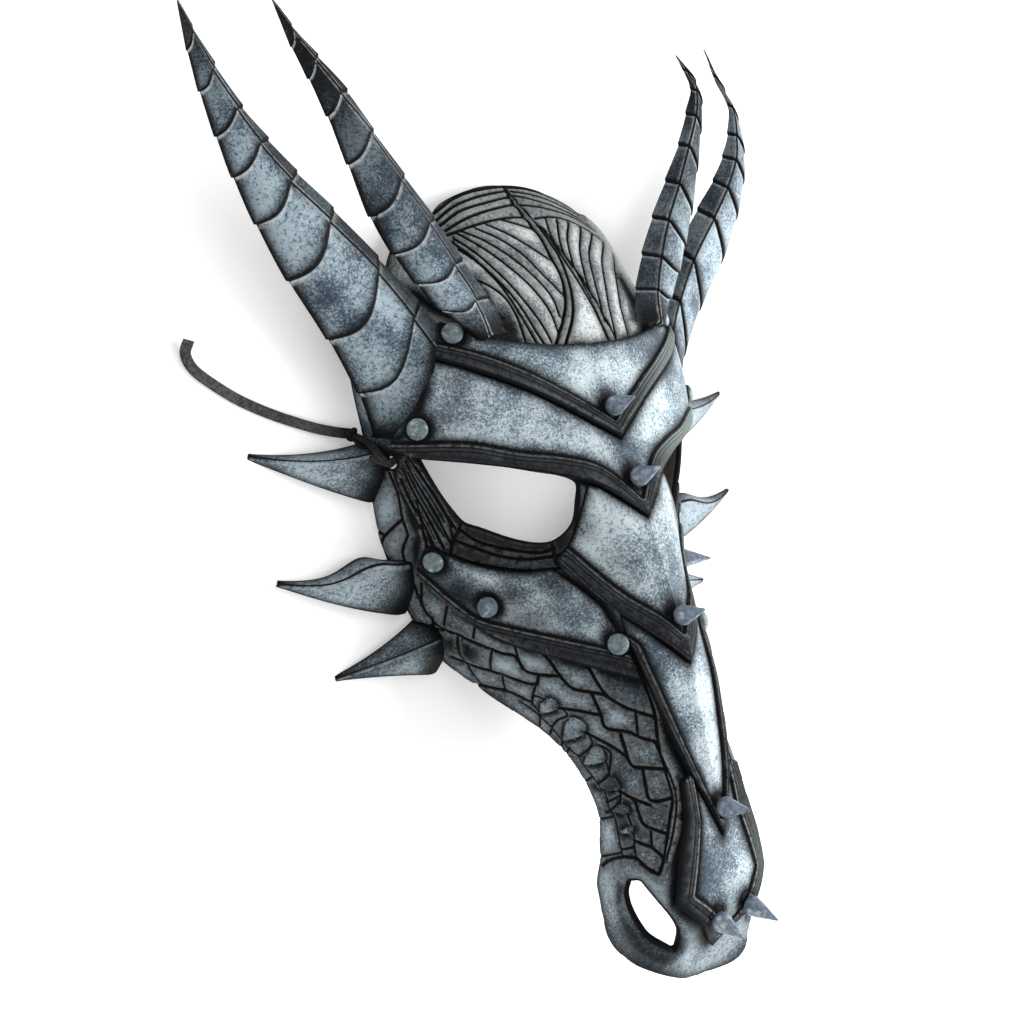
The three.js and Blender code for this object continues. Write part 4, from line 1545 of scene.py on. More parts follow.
SCALE_CROSSES: tuple[Line, ...] = (
    [(92.9, -35.2), (100.1, -47.5)], [(86.5, -49), (89.3, -53.9)], [(71.2, -55), (71.7, -61.9)],
    [(96.1, -52.3), (98.9, -60.2), (99.1, -64.1)], [(82.3, -58.5), (87.8, -68.3)], [(98.6, -66.6),
     (98.3, -76.1)],
    [(83.8, -72), (86.2, -77.9)], [(68.8, -75.2), (75.2, -83.7)], [(27.5, -86.5), (29.1, -97)],
    [(33.4, -133.9), (34.2, -141.2)], [(103.6, -43.6), (107.4, -51)], [(109, -46.7), (101.8, -50.2)],
)
TEMPLE_LINES: tuple[Line, ...] = (
    [(103.8, 0.3), (108.8, -2.8), (114.6, -7.4), (115.5, -11.4), (114.6, -16.3), (113.2, -21.2),
     (111.2, -26.9)],
    [(102.6, -6.4), (106.9, -13.1), (107.6, -19), (107.2, -23.4), (111.3, -27.3)],
    [(95.5, 7.4), (95.2, -0.4), (95.5, -6.9), (95.5, -11.3), (98.4, -17.7), (100.9, -22), (106, -36.6)],
    [(106, 20.6), (103.4, 10.7), (103.4, 2.2), (102.8, -3.5), (102.6, -6.4)],
    [(107.2, -23.4), (106.5, -29.1), (106.1, -35.9), (105.4, -41.2), (104.2, -45.9), (106.9, -50.1)],
    [(118, -1.5), (113.7, -5.3)], [(104.3, -45.2), (101.2, -49.6), (93.9, -52.5)],
)
TEMPLE_DARK: Line = [(99.9, 22), (98.8, 4.8), (98.7, -5.2), (100.7, -15.3), (101.7, -21.9)]
FAN_FOLDS: tuple[Line, ...] = (
    [(95.5, 26.3), (90.6, 17.6), (85.9, 8), (82.3, -4.4)], [(97.3, 24.8), (93.4, 15), (88.7, 3.2),
     (85, -11.5)],
    [(99, 21.6), (95.7, 10.9), (91.5, -0.9), (88.5, -13.3)], [(100.9, 17.6), (97.6, 6.8), (94, -4.1),
     (92.6, -11.2)],
    [(92.3, 21.9), (87.7, 11.5), (83.5, 0.5), (81.3, -5.4)],
)
EYE_STEPS: tuple[Line, ...] = (
    [(83, -3.9), (83.6, -9.5), (86.4, -16.2)],
    [(79.6, -5.5), (74.4, -10.9), (67.9, -14.2), (59.5, -16.9), (49.7, -18.9), (43.2, -17.9)],
    [(83.3, -9.9), (74.3, -14.8), (66.2, -18.7), (56.5, -21.1), (44.9, -21.1)],
    [(86.4, -16.2), (79, -20), (67.5, -23.8), (55.7, -26.3), (43.3, -26.4)],
)
# Pebbles along the jaw, the folds between them, and the strips from them to the lip
PEBBLES: tuple[Line, ...] = (
    [(73.1, -88.8), (70.2, -84.3), (66.4, -81.1), (62.9, -80.2), (60.8, -81.9), (60, -84.7), (65.7, -86.8)],
    [(65.5, -100.2), (60.9, -93.1), (57, -89), (53.9, -88.2), (51.7, -89.9), (50.2, -92.3),
     (50.9, -95.1), (56.9, -97.8)],
    [(58.9, -109.7), (54.6, -105.1), (50.4, -101.1), (47.2, -100.2), (45, -102.2), (45.6, -106.5),
     (50.7, -108.2)],
    [(56.1, -118.4), (50.3, -114.8), (45.6, -112.4), (43.1, -113.5), (42.2, -115.8), (43.5, -118.4),
     (50.8, -118.9)],
    [(51.2, -127.5), (47.1, -124.9), (43.2, -123.6), (40.3, -125.5), (42.3, -127.8), (46.1, -127.8)],
    [(48.8, -136.2), (44.8, -133.7), (41.4, -132.3), (40.2, -133.9), (41.4, -135.6), (45.3, -136.1)],
)
JAW_LINES: tuple[Line, ...] = (
    [(79.7, -83.9), (73.6, -89), (68.7, -94.2), (65.5, -100.2), (64, -103.1), (59.6, -106.3),
     (58.9, -109.7),
     (56.1, -113.3), (53.9, -116.7), (51.3, -119.3), (51.2, -127.5), (49.2, -129), (48.9, -136.2),
     (48.8, -146)],
    [(60.1, -84.8), (57.6, -87.7), (63.5, -90.3), (68.7, -94.2)], [(75.7, -84.7), (71.7, -80.1),
     (66.4, -81.1)],
    [(50.9, -95.1), (49.6, -99.6), (59.5, -106.2)], [(45.6, -106.5), (45.9, -111.9), (53.9, -116.7)],
    [(43.4, -118.7), (44.1, -122.5), (51.2, -127.5)], [(52, -124.1), (44.3, -120.9)], [(42.3, -127.8),
     (41.4, -132.3)],
    [(41.1, -135.6), (41.7, -141.1), (41.8, -146.8)], [(48.6, -142.8), (41.7, -141.1)],
    [(46.6, -100.2), (43.6, -101.7), (42.3, -103.4), (44.2, -108.1), (45.9, -111.9)],
    [(65.5, -100.2), (68.1, -103)], [(63.1, -102.8), (66.5, -105.7)], [(55.6, -114), (61.3, -116.9)],
    [(51, -127.5), (54.7, -128.9)], [(49.8, -129.5), (60.6, -132.8)], [(48.8, -144), (64.6, -149)],
    [(72.6, -89.3), (75.4, -94.1)], [(68.8, -94.5), (71.1, -97.4)],
)
SNOUT_EDGE: Line = [(22.5, -99.4), (19, -120.3), (23.2, -135.4), (28.5, -146.6)]

# Strands of the crown, which part from its spine in a different way on each side
CROWN_SPINE: tuple[Line, ...] = (
    [(0, 140.3), (-2, 131.7), (-1.7, 122.9), (-0.2, 113.2), (0.8, 103.2), (0.7, 95.7), (-1.6, 87.3),
     (-6.2, 78),
     (-14.9, 65.9)],
    [(0, 140.3), (0.9, 129.6), (2.5, 120.2), (3.8, 113.2), (5.5, 105.6), (4.7, 96.9), (2.2, 87.1),
     (-2.2, 76.6),
     (-9.9, 65.5)],
    [(3.9, 118.9), (6.2, 111.9), (7.9, 103), (9.6, 94.2), (12.6, 81.9), (16.5, 66.2)],
    [(5.3, 117.6), (8.3, 109.9), (12, 100.4), (14.9, 89.1), (17.9, 78.1), (22.8, 65.6)],
)
CROWN_STRANDS: tuple[Line, ...] = (
    [(-44.4, 127.4), (-31.4, 133.9), (-18.8, 137.4), (0.3, 139.9)],
    [(-46.4, 123.6), (-32.8, 130.5), (-18.2, 134.6), (-1, 137.5)],
    [(-45.3, 121.6), (-32.2, 127.8), (-18.1, 131.2), (-1.6, 134.4)],
    [(-44.6, 119), (-32.5, 123.9), (-19.8, 127.3), (-2, 130.6)],
    [(-47, 116.4), (-31, 120.5), (-16.1, 123.2), (-1.8, 124.2)],
    [(-15, 122.7), (-8.2, 120.4), (-1.6, 118.3)],
    [(-24.5, 120.8), (-16.9, 116.1), (-10, 110.9), (-1, 104)],
    [(-30.7, 119.2), (-22.3, 113.8), (-14.3, 106.1), (-8.3, 96.1), (-3, 88)],
    [(-38.2, 118.7), (-29.3, 112.9), (-19.7, 103.9), (-13.4, 95.1), (-9.2, 86.4), (-8.5, 78)],
    [(-40.2, 117.4), (-32.9, 110.7), (-24.9, 101.7), (-18.1, 91.7), (-13.3, 80.8), (-11.6, 71.4)],
    [(-42.7, 115.1), (-35.9, 107.2), (-29.3, 95.9), (-24.2, 84.9), (-19.6, 75.4), (-16.6, 67.1)],
    [(-43.9, 112.7), (-38.8, 106.2), (-33, 96.1), (-28.2, 85.2), (-23.4, 72.2), (-21, 66.9)],
    [(-43.4, 110.2), (-37.6, 103.7), (-33, 93.7), (-29.6, 81.8), (-24.9, 67.7)],
    [(-43.5, 96.9), (-38.1, 93.5), (-33.4, 87.8), (-30.8, 78.4), (-30.1, 68.1)],
    [(1.4, 139.3), (16, 138), (30, 133.8), (44, 127)], [(2, 137.2), (18.3, 134.8), (33, 129.6), (46, 124)],
    [(1.7, 135.1), (16.1, 132), (32.5, 127), (46, 121)], [(1.6, 130.3), (16.2, 128.6), (33.1, 124.6),
     (47, 118.5)],
    [(4.3, 123.3), (16.4, 124.1), (28.5, 122), (48, 114)], [(10.7, 122.9), (8.2, 117), (7.8, 110.6)],
    [(18.1, 122.6), (12.3, 114.4), (10.3, 106.8), (11.2, 100.4)],
    [(25.6, 121.5), (17.3, 113.4), (13.7, 105.4), (12.5, 95.4), (13.6, 85.5)],
    [(33.8, 119.5), (22.2, 108), (16.4, 95.3), (15.3, 86)], [(42.1, 116.5), (27.4, 105.5), (20.2, 90.2),
     (18.1, 74.5)],
    [(50, 112), (34.3, 101), (24.6, 83.9), (22.8, 65.9)], [(55, 106), (41.8, 96), (32.9, 82.5),
     (31.6, 67.8)],
)


def rim(skin: Skin, start: float, end: float, step: float = 1.5) -> Line:
    """The skin's outer edge from one height to another."""
    ups = np.linspace(start, end, max(2, int(abs(end - start) / step)))
    return [(float(np.interp(u, skin.rows, skin.girths)), float(u)) for u in ups]


def catmull(line: Points, count: int) -> Points:
    """Smooth points through a few, in any number of dimensions.

    Args:
        line: the line's points.
        count: how many points to make.

    Returns:
        The smooth points.
    """
    places = range(len(line))
    at = np.linspace(0, len(line) - 1, count)
    return np.array([[hermite(places, line[:, k], s) for k in range(line.shape[1])] for s in at])


def loft(rings: Points, shut: bool = True) -> list[Face]:
    """Faces of a closed body through rings of points, each ring an outer line and then an inner one.

    Args:
        rings: ring, point, coordinate.
        shut: whether the ends are closed from outer to inner points.

    Returns:
        Quads that number the rings' points in order.
    """
    count, size = rings.shape[:2]
    faces: list[Face] = []
    for first in range(0, (count - 1) * size, size):
        for k in range(size):
            n = (k + 1) % size
            faces.append((first + k, first + n, first + size + n, first + size + k))
    last = (count - 1) * size
    if shut:
        for k in range(size // 2 - 1):
            quad = (k, size - 1 - k, size - 2 - k, k + 1)
            faces += [quad, tuple(last + v for v in reversed(quad))]
    return faces


def skin_height(skin: Skin, points: Points) -> Points:
    """Height of the skin under or over each point, or far below where there is none.

    Args:
        skin: the skin.
        points: the points, one row each.

    Returns:
        One height for each point.
    """
    row = np.clip(np.round((points[:, 1] - skin.low) / skin.ROW).astype(int), 0, len(skin.rows) - 1)
    out = np.full(len(points), -FAR)
    for r in np.unique(row):
        pick = row == r
        reach = int(skin.girths[r] / skin.STEP)
        xs = np.maximum.accumulate(skin.x[r, :reach])
        out[pick] = np.interp(np.abs(points[pick, 0]), xs, skin.z[r, :reach], right=-FAR)
    out[(points[:, 1] < skin.low) | (points[:, 1] > skin.rows[-1])] = -FAR
    return out


@dataclass(frozen=True)
class Spike:
    """A spike of the rim: root on the skin, width, height, and the bend and tip of its middle line."""

    root: Place
    width: float
    height: float
    bend: Spot
    tip: Spot
    crest: tuple[float, float]
    shoulder: float = 0.0

    TAPER = 1.15
    POINT = 1.3
    SINK = 0.35
    RISE = 0.72
    ROOT = 7.0
    ROOT_WIDTH, ROOT_HEIGHT = 0.8, 0.45
    PETAL = 3.5
    HUMP_AT, HUMP_LENGTH = 0.42, 0.2
    SOLID_FROM, THICKEST = 0.82, 0.7
    SLOPE = 0.4
    FOLD, OUTER = 17, 25
    STEPS, CROWDING = 46, 1.35
    FOLD_INK, EDGE_INK, FOOT_INK = Mark(1, 0.45), Mark(0.8, 0.6), Mark(1, 0.5)
    FOLD_SHADE, EDGE_SHADE, FOOT_SHADE = Shadow(0.35, 2), Shadow(0.7, 1.8), Shadow(1, 2.5)
    ROOT_SHADE, TIP_SHADE, UPPER_SHADE = Mark(0.9, 13), 0.8, 0.15
    LIP = Mark(0.5, 0.4, -1.2)

    def section(self, tall: float, crest: float, hollow: float) -> Points:
        """Outer line from the lower edge over the fold to the upper edge, then the inner line back.

        Args:
            tall: height of the fold.
            crest: place of the fold, from -1 at the lower edge to 1 at the upper one.
            hollow: height of the hollow under it.

        Returns:
            Places across and up, twice as many as the outer line has.
        """
        over = self.RISE * tall
        lower = catmull(np.array([(-1, 0), ((crest - 1) / 2, over), (crest, tall)]), self.FOLD)
        upper = np.array([(crest, tall), ((crest + 1) / 2, over), (1, 0)])
        upper = catmull(upper, self.OUTER - self.FOLD + 1)
        rise = max(hollow - tall * (1 - self.RISE), 0)
        inner = np.array([(0.75, -0.1), (0.3, rise), (0, hollow), (-0.3, rise), (-0.75, -0.1)])
        return np.vstack([lower, upper[1:], catmull(inner, self.OUTER)])

    def frame_at(self, foot: Points, t: float) -> tuple[Points, Points, Points, Points]:
        """Middle point, heading, width direction and upward direction at a share of the length.

        Args:
            foot: the spike's foot.
            t: the share of the length.

        Returns:
            The point and the three directions.
        """
        bend, tip = np.array(self.bend), np.array(self.tip)
        centre = (1 - t) ** 2 * foot + 2 * t * (1 - t) * bend + t * t * tip
        heading = 2 * (1 - t) * (bend - foot) + 2 * t * (tip - bend)
        heading /= np.linalg.norm(heading)
        wide = np.cross((0, 0, 1), heading)
        wide /= np.linalg.norm(wide)
        return centre, heading, wide, np.cross(heading, wide)

    def mesh(self) -> tuple[Points, list[Face], dict[str, Points]]:
        """Points, faces and attributes of the spike on the wearer's left.

        Returns:
            The points, faces and attributes.
        """
        a, u = self.root
        foot = FACE.lift(np.array([a]), np.array([u]), np.array([FACE_TOP - FACE_LEATHER / 2]))[0]
        length = np.linalg.norm(np.array(self.tip) - foot)
        rings, made = [], {layer: [] for layer in PAINTED}
        for s in range(self.STEPS + 1):
            t = (s / self.STEPS) ** self.CROWDING
            centre, heading, wide, up = self.frame_at(foot, t)
            along = t * length
            swell = math.sqrt(1 - max(1 - (along + 1) / self.ROOT, 0) ** 2)
            across = self.width / 2 * (1 - t) ** self.TAPER + self.POINT
            across *= self.ROOT_WIDTH + (1 - self.ROOT_WIDTH) * swell
            tall = self.height * (1 - t) + self.POINT
            tall *= self.ROOT_HEIGHT + (1 - self.ROOT_HEIGHT) * swell
            hollow = tall - min(FACE_LEATHER, tall * self.THICKEST) if t < self.SOLID_FROM else 0
            late = max(t - self.shoulder / 3, 0) / (1 - self.shoulder / 3)
            crest = self.crest[0] * (1 - late) + self.crest[1] * late
            line = self.section(tall, crest, hollow)
            hump = self.shoulder * math.exp(-((t - self.HUMP_AT) / self.HUMP_LENGTH) ** 2)
            lift = -tall * self.SINK * (1 - t**6)
            petal = self.PETAL * (1 - t) ** 6 * (1 - line[:, :1] ** 2)
            broad = line[:, 0] * np.where(line[:, 0] > 0, 1 + hump, 1) * across
            ring = centre + np.outer(broad, wide) + np.outer(line[:, 1] + lift, up) - heading * petal
            rings.append(ring)
            for layer, values in self.paint(line, ring, across, crest, along, t).items():
                made[layer].append(np.where(np.arange(len(line)) < self.OUTER, values, 0))
        points = np.vstack(rings)
        points[:, 2] = np.maximum(points[:, 2], 0)
        painted = {layer.value: np.concatenate(values) for layer, values in made.items()}
        painted[BACK] = np.tile(np.arange(2 * self.OUTER) >= self.OUTER, len(rings)).astype(float)
        painted[BACK][:2 * self.OUTER * self.STEPS // 3] = 0
        return points, [f[::-1] for f in loft(np.array(rings))], painted

    def paint(self, line: Points, ring: Points, across: float, crest: float, along: float,
              t: float) -> Layers:
        """Ink, shade and rub of one ring.

        Args:
            line: the ring's section.
            ring: its points.
            across: half its width.
            crest: place of its fold.
            along: how far it is from the foot.
            t: the same as a share of the length.

        Returns:
            One value for each point and layer.
        """
        off = np.maximum(self.SLOPE * (ring[:, 2] - skin_height(FACE, ring) - FACE_TOP), 0)
        to_fold = (line[:, 0] - crest) * across
        edge = (1 - np.abs(line[:, 0])) * across
        facet = (to_fold > 0) * self.UPPER_SHADE + self.FOLD_SHADE.on(np.abs(to_fold + 1))
        shade = np.maximum.reduce([self.EDGE_SHADE.on(edge), facet, self.FOOT_SHADE.on(off)])
        ends = max(self.ROOT_SHADE.on(along), self.TIP_SHADE * t**4)
        ink = np.maximum.reduce([self.EDGE_INK.on(edge), self.FOLD_INK.on(to_fold), self.FOOT_INK.on(off)])
        # A pale lip beside the fold: rubs and a painted glint
        return {Layer.GROOVE: ink, Layer.SHADE: np.maximum(shade, ends), Layer.BAND: 0 * edge,
                Layer.RUB: self.LIP.on(to_fold)}


SPIKES = (
    Spike((112, 21.5), 25, 9, (113, 24, 9), (141, 34.5, -0.8), (0.7, 0.2)),
    Spike((110, -29), 23, 9, (108, -27, 9.5), (137, -16.5, 2.4), (0.85, 0.1), 0.75),
    Spike((109, -56), 27, 9, (88, -57.5, 9), (114, -60.5, -0.8), (0.2, 0.3)),
)


def turned_out(points: Points, faces: list[Face]) -> list[Face]:
    """The faces of a closed mesh, turned to point outwards.

    Args:
        points: points as rows.
        faces: faces as rows of point numbers.

    Returns:
        The turned faces.
    """
    volume = 0.0
    for f in faces:
        a = points[f[0]]
        for k in range(1, len(f) - 1):
            volume += float(np.dot(a, np.cross(points[f[k]], points[f[k + 1]])))
    return faces if volume > 0 else [tuple(reversed(f)) for f in faces]


def welded(objects: list[Piece], name: str) -> Piece:
    """Puts several meshes into one object, keeping their attributes.

    Args:
        objects: the objects, joined into the first.
        name: the object's name.

    Returns:
        The joined object.
    """
    with bpy.context.temp_override(active_object=objects[0], selected_editable_objects=objects,
                                   selected_objects=objects, object=objects[0]):
        bpy.ops.object.join()
    objects[0].name = name
    objects[0].data.name = name
    return objects[0]


def vertices(piece: Piece) -> Points:
    """A piece's vertices in metres, one row each.

    Args:
        piece: the piece.

    Returns:
        The rows.
    """
    spots = np.zeros(3 * len(piece.data.vertices), np.float32)
    piece.data.vertices.foreach_get("co", spots)
    return spots.reshape(-1, 3)


def darkened(piece: Piece, centre: Spot, reach: float, strength: float) -> Piece:
    """Darkens a piece round one spot.

    Args:
        piece: the piece.
        centre: the spot, in millimetres.
        reach: how far the darkening goes.
        strength: how dark it is at the spot.

    Returns:
        The same piece.
    """
    away = np.linalg.norm(vertices(piece) / MM - np.array(centre), axis=1)
    shade = piece.data.attributes.get("shade") or piece.data.attributes.new("shade", "FLOAT", "POINT")
    shade.data.foreach_set("value", (strength * fade(away, reach)).astype(np.float32))
    return piece


@dataclass
class FaceShell:
    """The moulded face with its tooling, eye holes, nostrils and spikes."""

    spacing: float = 2.4
    nostril_roll: float = 1.5
    pebble_rise: float = 0.9
    chin_top: float = -186
    chin_ease: float = 20
    chin_middle: float = 19
    chin_spread: float = 13
    left_push: Spot = (4.6, -5.4, 3.6)
    right_push: Spot = (0, -1.4, 0)

    def fuller_chin(self, piece: Piece) -> Piece:
        """Pushes the chin out, more so on the wearer's left, where the hand moulding is fuller.

        Args:
            piece: the piece.

        Returns:
            The same piece.
        """
        spots = vertices(piece)
        x, y = spots[:, 0] / MM, spots[:, 1] / MM
        low = smooth((self.chin_top - y) / self.chin_ease)
        for middle, push in ((self.chin_middle, self.left_push), (-self.chin_middle, self.right_push)):
            spots += np.outer(low * bell(x - middle, self.chin_spread), push) * MM
        piece.data.vertices.foreach_set("co", spots.ravel())
        return piece

    def raised(self) -> list[Relief]:
        """The dark band of the temple, painted shade in the eye hole's inner corner, the straps below the
        eye hole, and the pebbles of the jaw.

        Returns:
            The reliefs.
        """
        below_eye = flow([(78, -2.5), (71, -6.5), (56, -13.5), (44, -15)])
        straps = [joined(flow(turned(EYE_STEPS[1])), flow([(79.6, -5.5), (78, -2.5)]), below_eye),
                  *[joined(flow(a), flow(turned(b))) for a, b in zip(EYE_STEPS[1:], EYE_STEPS[2:])]]
        corner = joined(flow([(26, 8), (29.5, -3), (33, -11.5), (38, -19), (44, -21)]),
                        flow([(44, -15), (34, -9), (29, 1), (27, 9)]))
        temple = joined(flow([(91, 26.5), (83, 8), (79, -4), (83, -10), (87, -17)]),
                        flow([(93, -12), (98, 2), (103, 17), (102, 28)]))
        return [
            Raised(temple, 0.0, band=0.9, ease=2.5, creases=(), crest=0.0, glint=0.0),
            # Painted shade: a black band in the eye hole's inner corner, beside the nose plate
            Raised(corner, 0.3, band=0.95, creases=(), glint=0.1),
            *[Raised(strap, 0.55, band=0.95, creases=(), glint=0.12) for strap in straps],
            *[Raised(looped(pebble, 0.8), self.pebble_rise, band=0.2, ease=2.2, crest=0.5, creases=(),
                     glint=0.1, line=0.4) for pebble in PEBBLES],
        ]

    def grooves(self) -> list[Relief]:
        """The scales, the lines of the temple, the fan of folds, the steps below the eye and the jaw.

        Returns:
            The reliefs.
        """
        folds = flows(FAN_FOLDS)
        short = [evenly(fold, 1.2)[:26] for fold in folds]
        between = tuple((a + b) / 2 for a, b in zip(short, short[1:]))
        return [
            Grooves(flows(SCALE_ROWS), width=0.55, depth=0.9, puff=0.7, reach=3.2, soft=0.98, pale=0.3),
            Grooves(flows(SCALE_CROSSES), width=0.45, depth=0.8, puff=0.5, reach=2.6, soft=0.85, pale=0.2),
            Grooves(flows(TEMPLE_LINES), width=0.5, depth=0.8, reach=4.0, soft=0.9, pale=0.3),
            Grooves(folds, width=0.55, depth=1.0, puff=0.6, reach=1.2, soft=0.7, pale=0.25),
            Grooves(between, width=0.35, depth=0.6, puff=0.2, reach=1.0, soft=0.5, pale=0.2),
            Grooves(flows(EYE_STEPS), width=0.5, depth=0.6, soft=0.5, reach=2.5, pale=0.1),
            Grooves(flows(JAW_LINES), width=0.4, depth=0.7, soft=0.85, reach=2.2, pale=0.2),
            Grooves(flows([SNOUT_EDGE]), width=0.45, depth=0.5, soft=0.3),
        ]

    def rims_and_painted_shade(self, eye: Points, nostril: Points) -> list[Relief]:
        """The rolled rims of the holes with their dark walls, and painted shade round them, along the
        plates' edges and over the hollows.

        Args:
            eye: the eye hole.
            nostril: the nostril.

        Returns:
            The reliefs, in the order that they are worked in.
        """
        # Painted shade on the face: along the plates' edges, in the hollows, below the nostril, and in
        # spots round the spike roots, the eye, the nostril and the jaw
        seams = flows([CHEEK_LOW, CHEEK_TOP, RIDGE_SEAM, SNOUT_OUTER, EYE_BROW, [(28, -165), (0, -193.5)]])
        hollows = flows([[(46, -26), (31, -42.5), (27.5, -52), (22.5, -75)], TEMPLE_DARK])
        below_nostril = flows([[(50, -157), (52, -166), (47, -177), (38, -186), (27, -191)]])
        spots = ((104, 24, 12, 0.98), (106, -27, 11, 0.85), (96, -57, 12, 0.9), (117, 17, 12, 0.7),
                 (88, -2, 12, 0.6), (60, -14, 16, 0.5), (34, 2, 8, 0.7), (100, 8, 10, 0.6),
                 (30, -176, 20, 0.35), (52, -150, 14, 0.5), (95, -45, 12, 0.4), (36, -72, 14, 0.6),
                 (50, -118, 14, 0.5), (62, -98, 12, 0.4))
        return [ShadeAndAirbrush(seams, 4.5), ShadeAndAirbrush(hollows, 6.0),
                Rolled(nostril, 4.4, 2.6, self.nostril_roll, wall=1.5), ShadeAndAirbrush(below_nostril, 5.0, 0.75),
                Rolled(eye, 2.2, 1.4, 0.3, wall=0.6), ShadeAndAirbrush(spots=spots)]

    def sheet(self) -> Sheet:
        """The face's pattern and reliefs.

        Returns:
            The sheet.
        """
        outline = half(FACE_CROWN_EDGE, rim(FACE, 75, -161), turned(NOSE_EDGE[:-1]))
        holes = [looped(EYE_HOLE, 1.4), looped(NOSTRIL, 1.2), looped(LACE_HOLE, 0.8)]
        reliefs = self.raised() + self.grooves() + self.rims_and_painted_shade(*holes[:2])
        return Sheet("moulded_face", FACE, outline, FACE_TOP - FACE_LEATHER, FACE_TOP, reliefs, holes,
                     spacing=self.spacing)

    def build(self, finishes: Finishes) -> None:
        """Makes the face and its spikes as one piece.

        Args:
            finishes: the finishes to dress with.
        """
        parts = [self.fuller_chin(self.sheet().build())]
        for number, spike in enumerate(SPIKES):
            points, faces, layers = spike.mesh()
            for side in (1, -1):
                sided = points * [side, 1, 1]
                parts.append(write_mesh(f"spike_{number}_{side}", sided, turned_out(sided, faces), layers))
        dress(welded(parts, "moulded_face"), finishes.face, "face_leather", "face_shell")


@dataclass
class Crown:
    """The domed crown, tooled as strands that part from a spine."""

    spacing: float = 2.2

    def sheet(self) -> Sheet:
        """The crown's pattern and reliefs.

        Returns:
            The sheet.
        """
        outline = both([(0, 61), (25, 62.5), (52, 68.5), (70, 76)], rim(CROWN, 77, 127),
                       [(46.5, 127), (38, 132.5), (26, 137), (13, 139.7), (0, 140.5)])
        partings = flows([[(0, 140), (-0.5, 131), (0.4, 121), (1.8, 113), (3.1, 104.4), (2.7, 96.3),
                           (0.3, 87.2), (-4.2, 77.3), (-12.4, 65.7)],
                          [(4.6, 118.2), (7.2, 110.9), (10, 101.7), (12.2, 91.6), (15.3, 80),
                           (19.6, 65.9)]])
        brow = flow([(0, 64), (26, 65.5), (44, 68.5), (60, 75)])
        horn_foot = flow([(70.8, 92.8), (63.3, 83.9), (52, 80.5), (43.6, 84), (42.7, 95.7)])
        spots = ((44, 117, 10, 0.4), (-44, 117, 14, 0.8), (-34, 70, 20, 0.8), (-20, 130, 16, 0.4))
        reliefs: list[Relief] = [
            Grooves(flows(CROWN_SPINE), width=0.6, depth=1.0, puff=0.6, soft=0.9, reach=2.5, pale=0.3),
            Grooves(flows(CROWN_STRANDS), width=0.45, depth=0.8, puff=1.3, reach=1.6, soft=0.9, pale=0.4),
            # Darkening along the partings; painted shade where the crown meets the brow plate, deeper on
            # the wearer's right, round the horns' feet and in spots
            ShadeAndAirbrush(partings, 2.4, 0.9),
            ShadeAndAirbrush((brow,), 2.4, 0.8),
            ShadeAndAirbrush((brow * [-1, 1],), 4.5, 0.9),
            ShadeAndAirbrush((horn_foot, horn_foot * [-1, 1]), 5.0, spots=spots),
        ]
        return Sheet("crown_tooled", CROWN, outline, -CROWN_LEATHER, 0, reliefs, spacing=self.spacing,
                     side=1)

    def build(self, finishes: Finishes) -> None:
        """Makes and dresses the crown."""
        dress(self.sheet().build(), finishes.crown, "crown_leather", "crown")


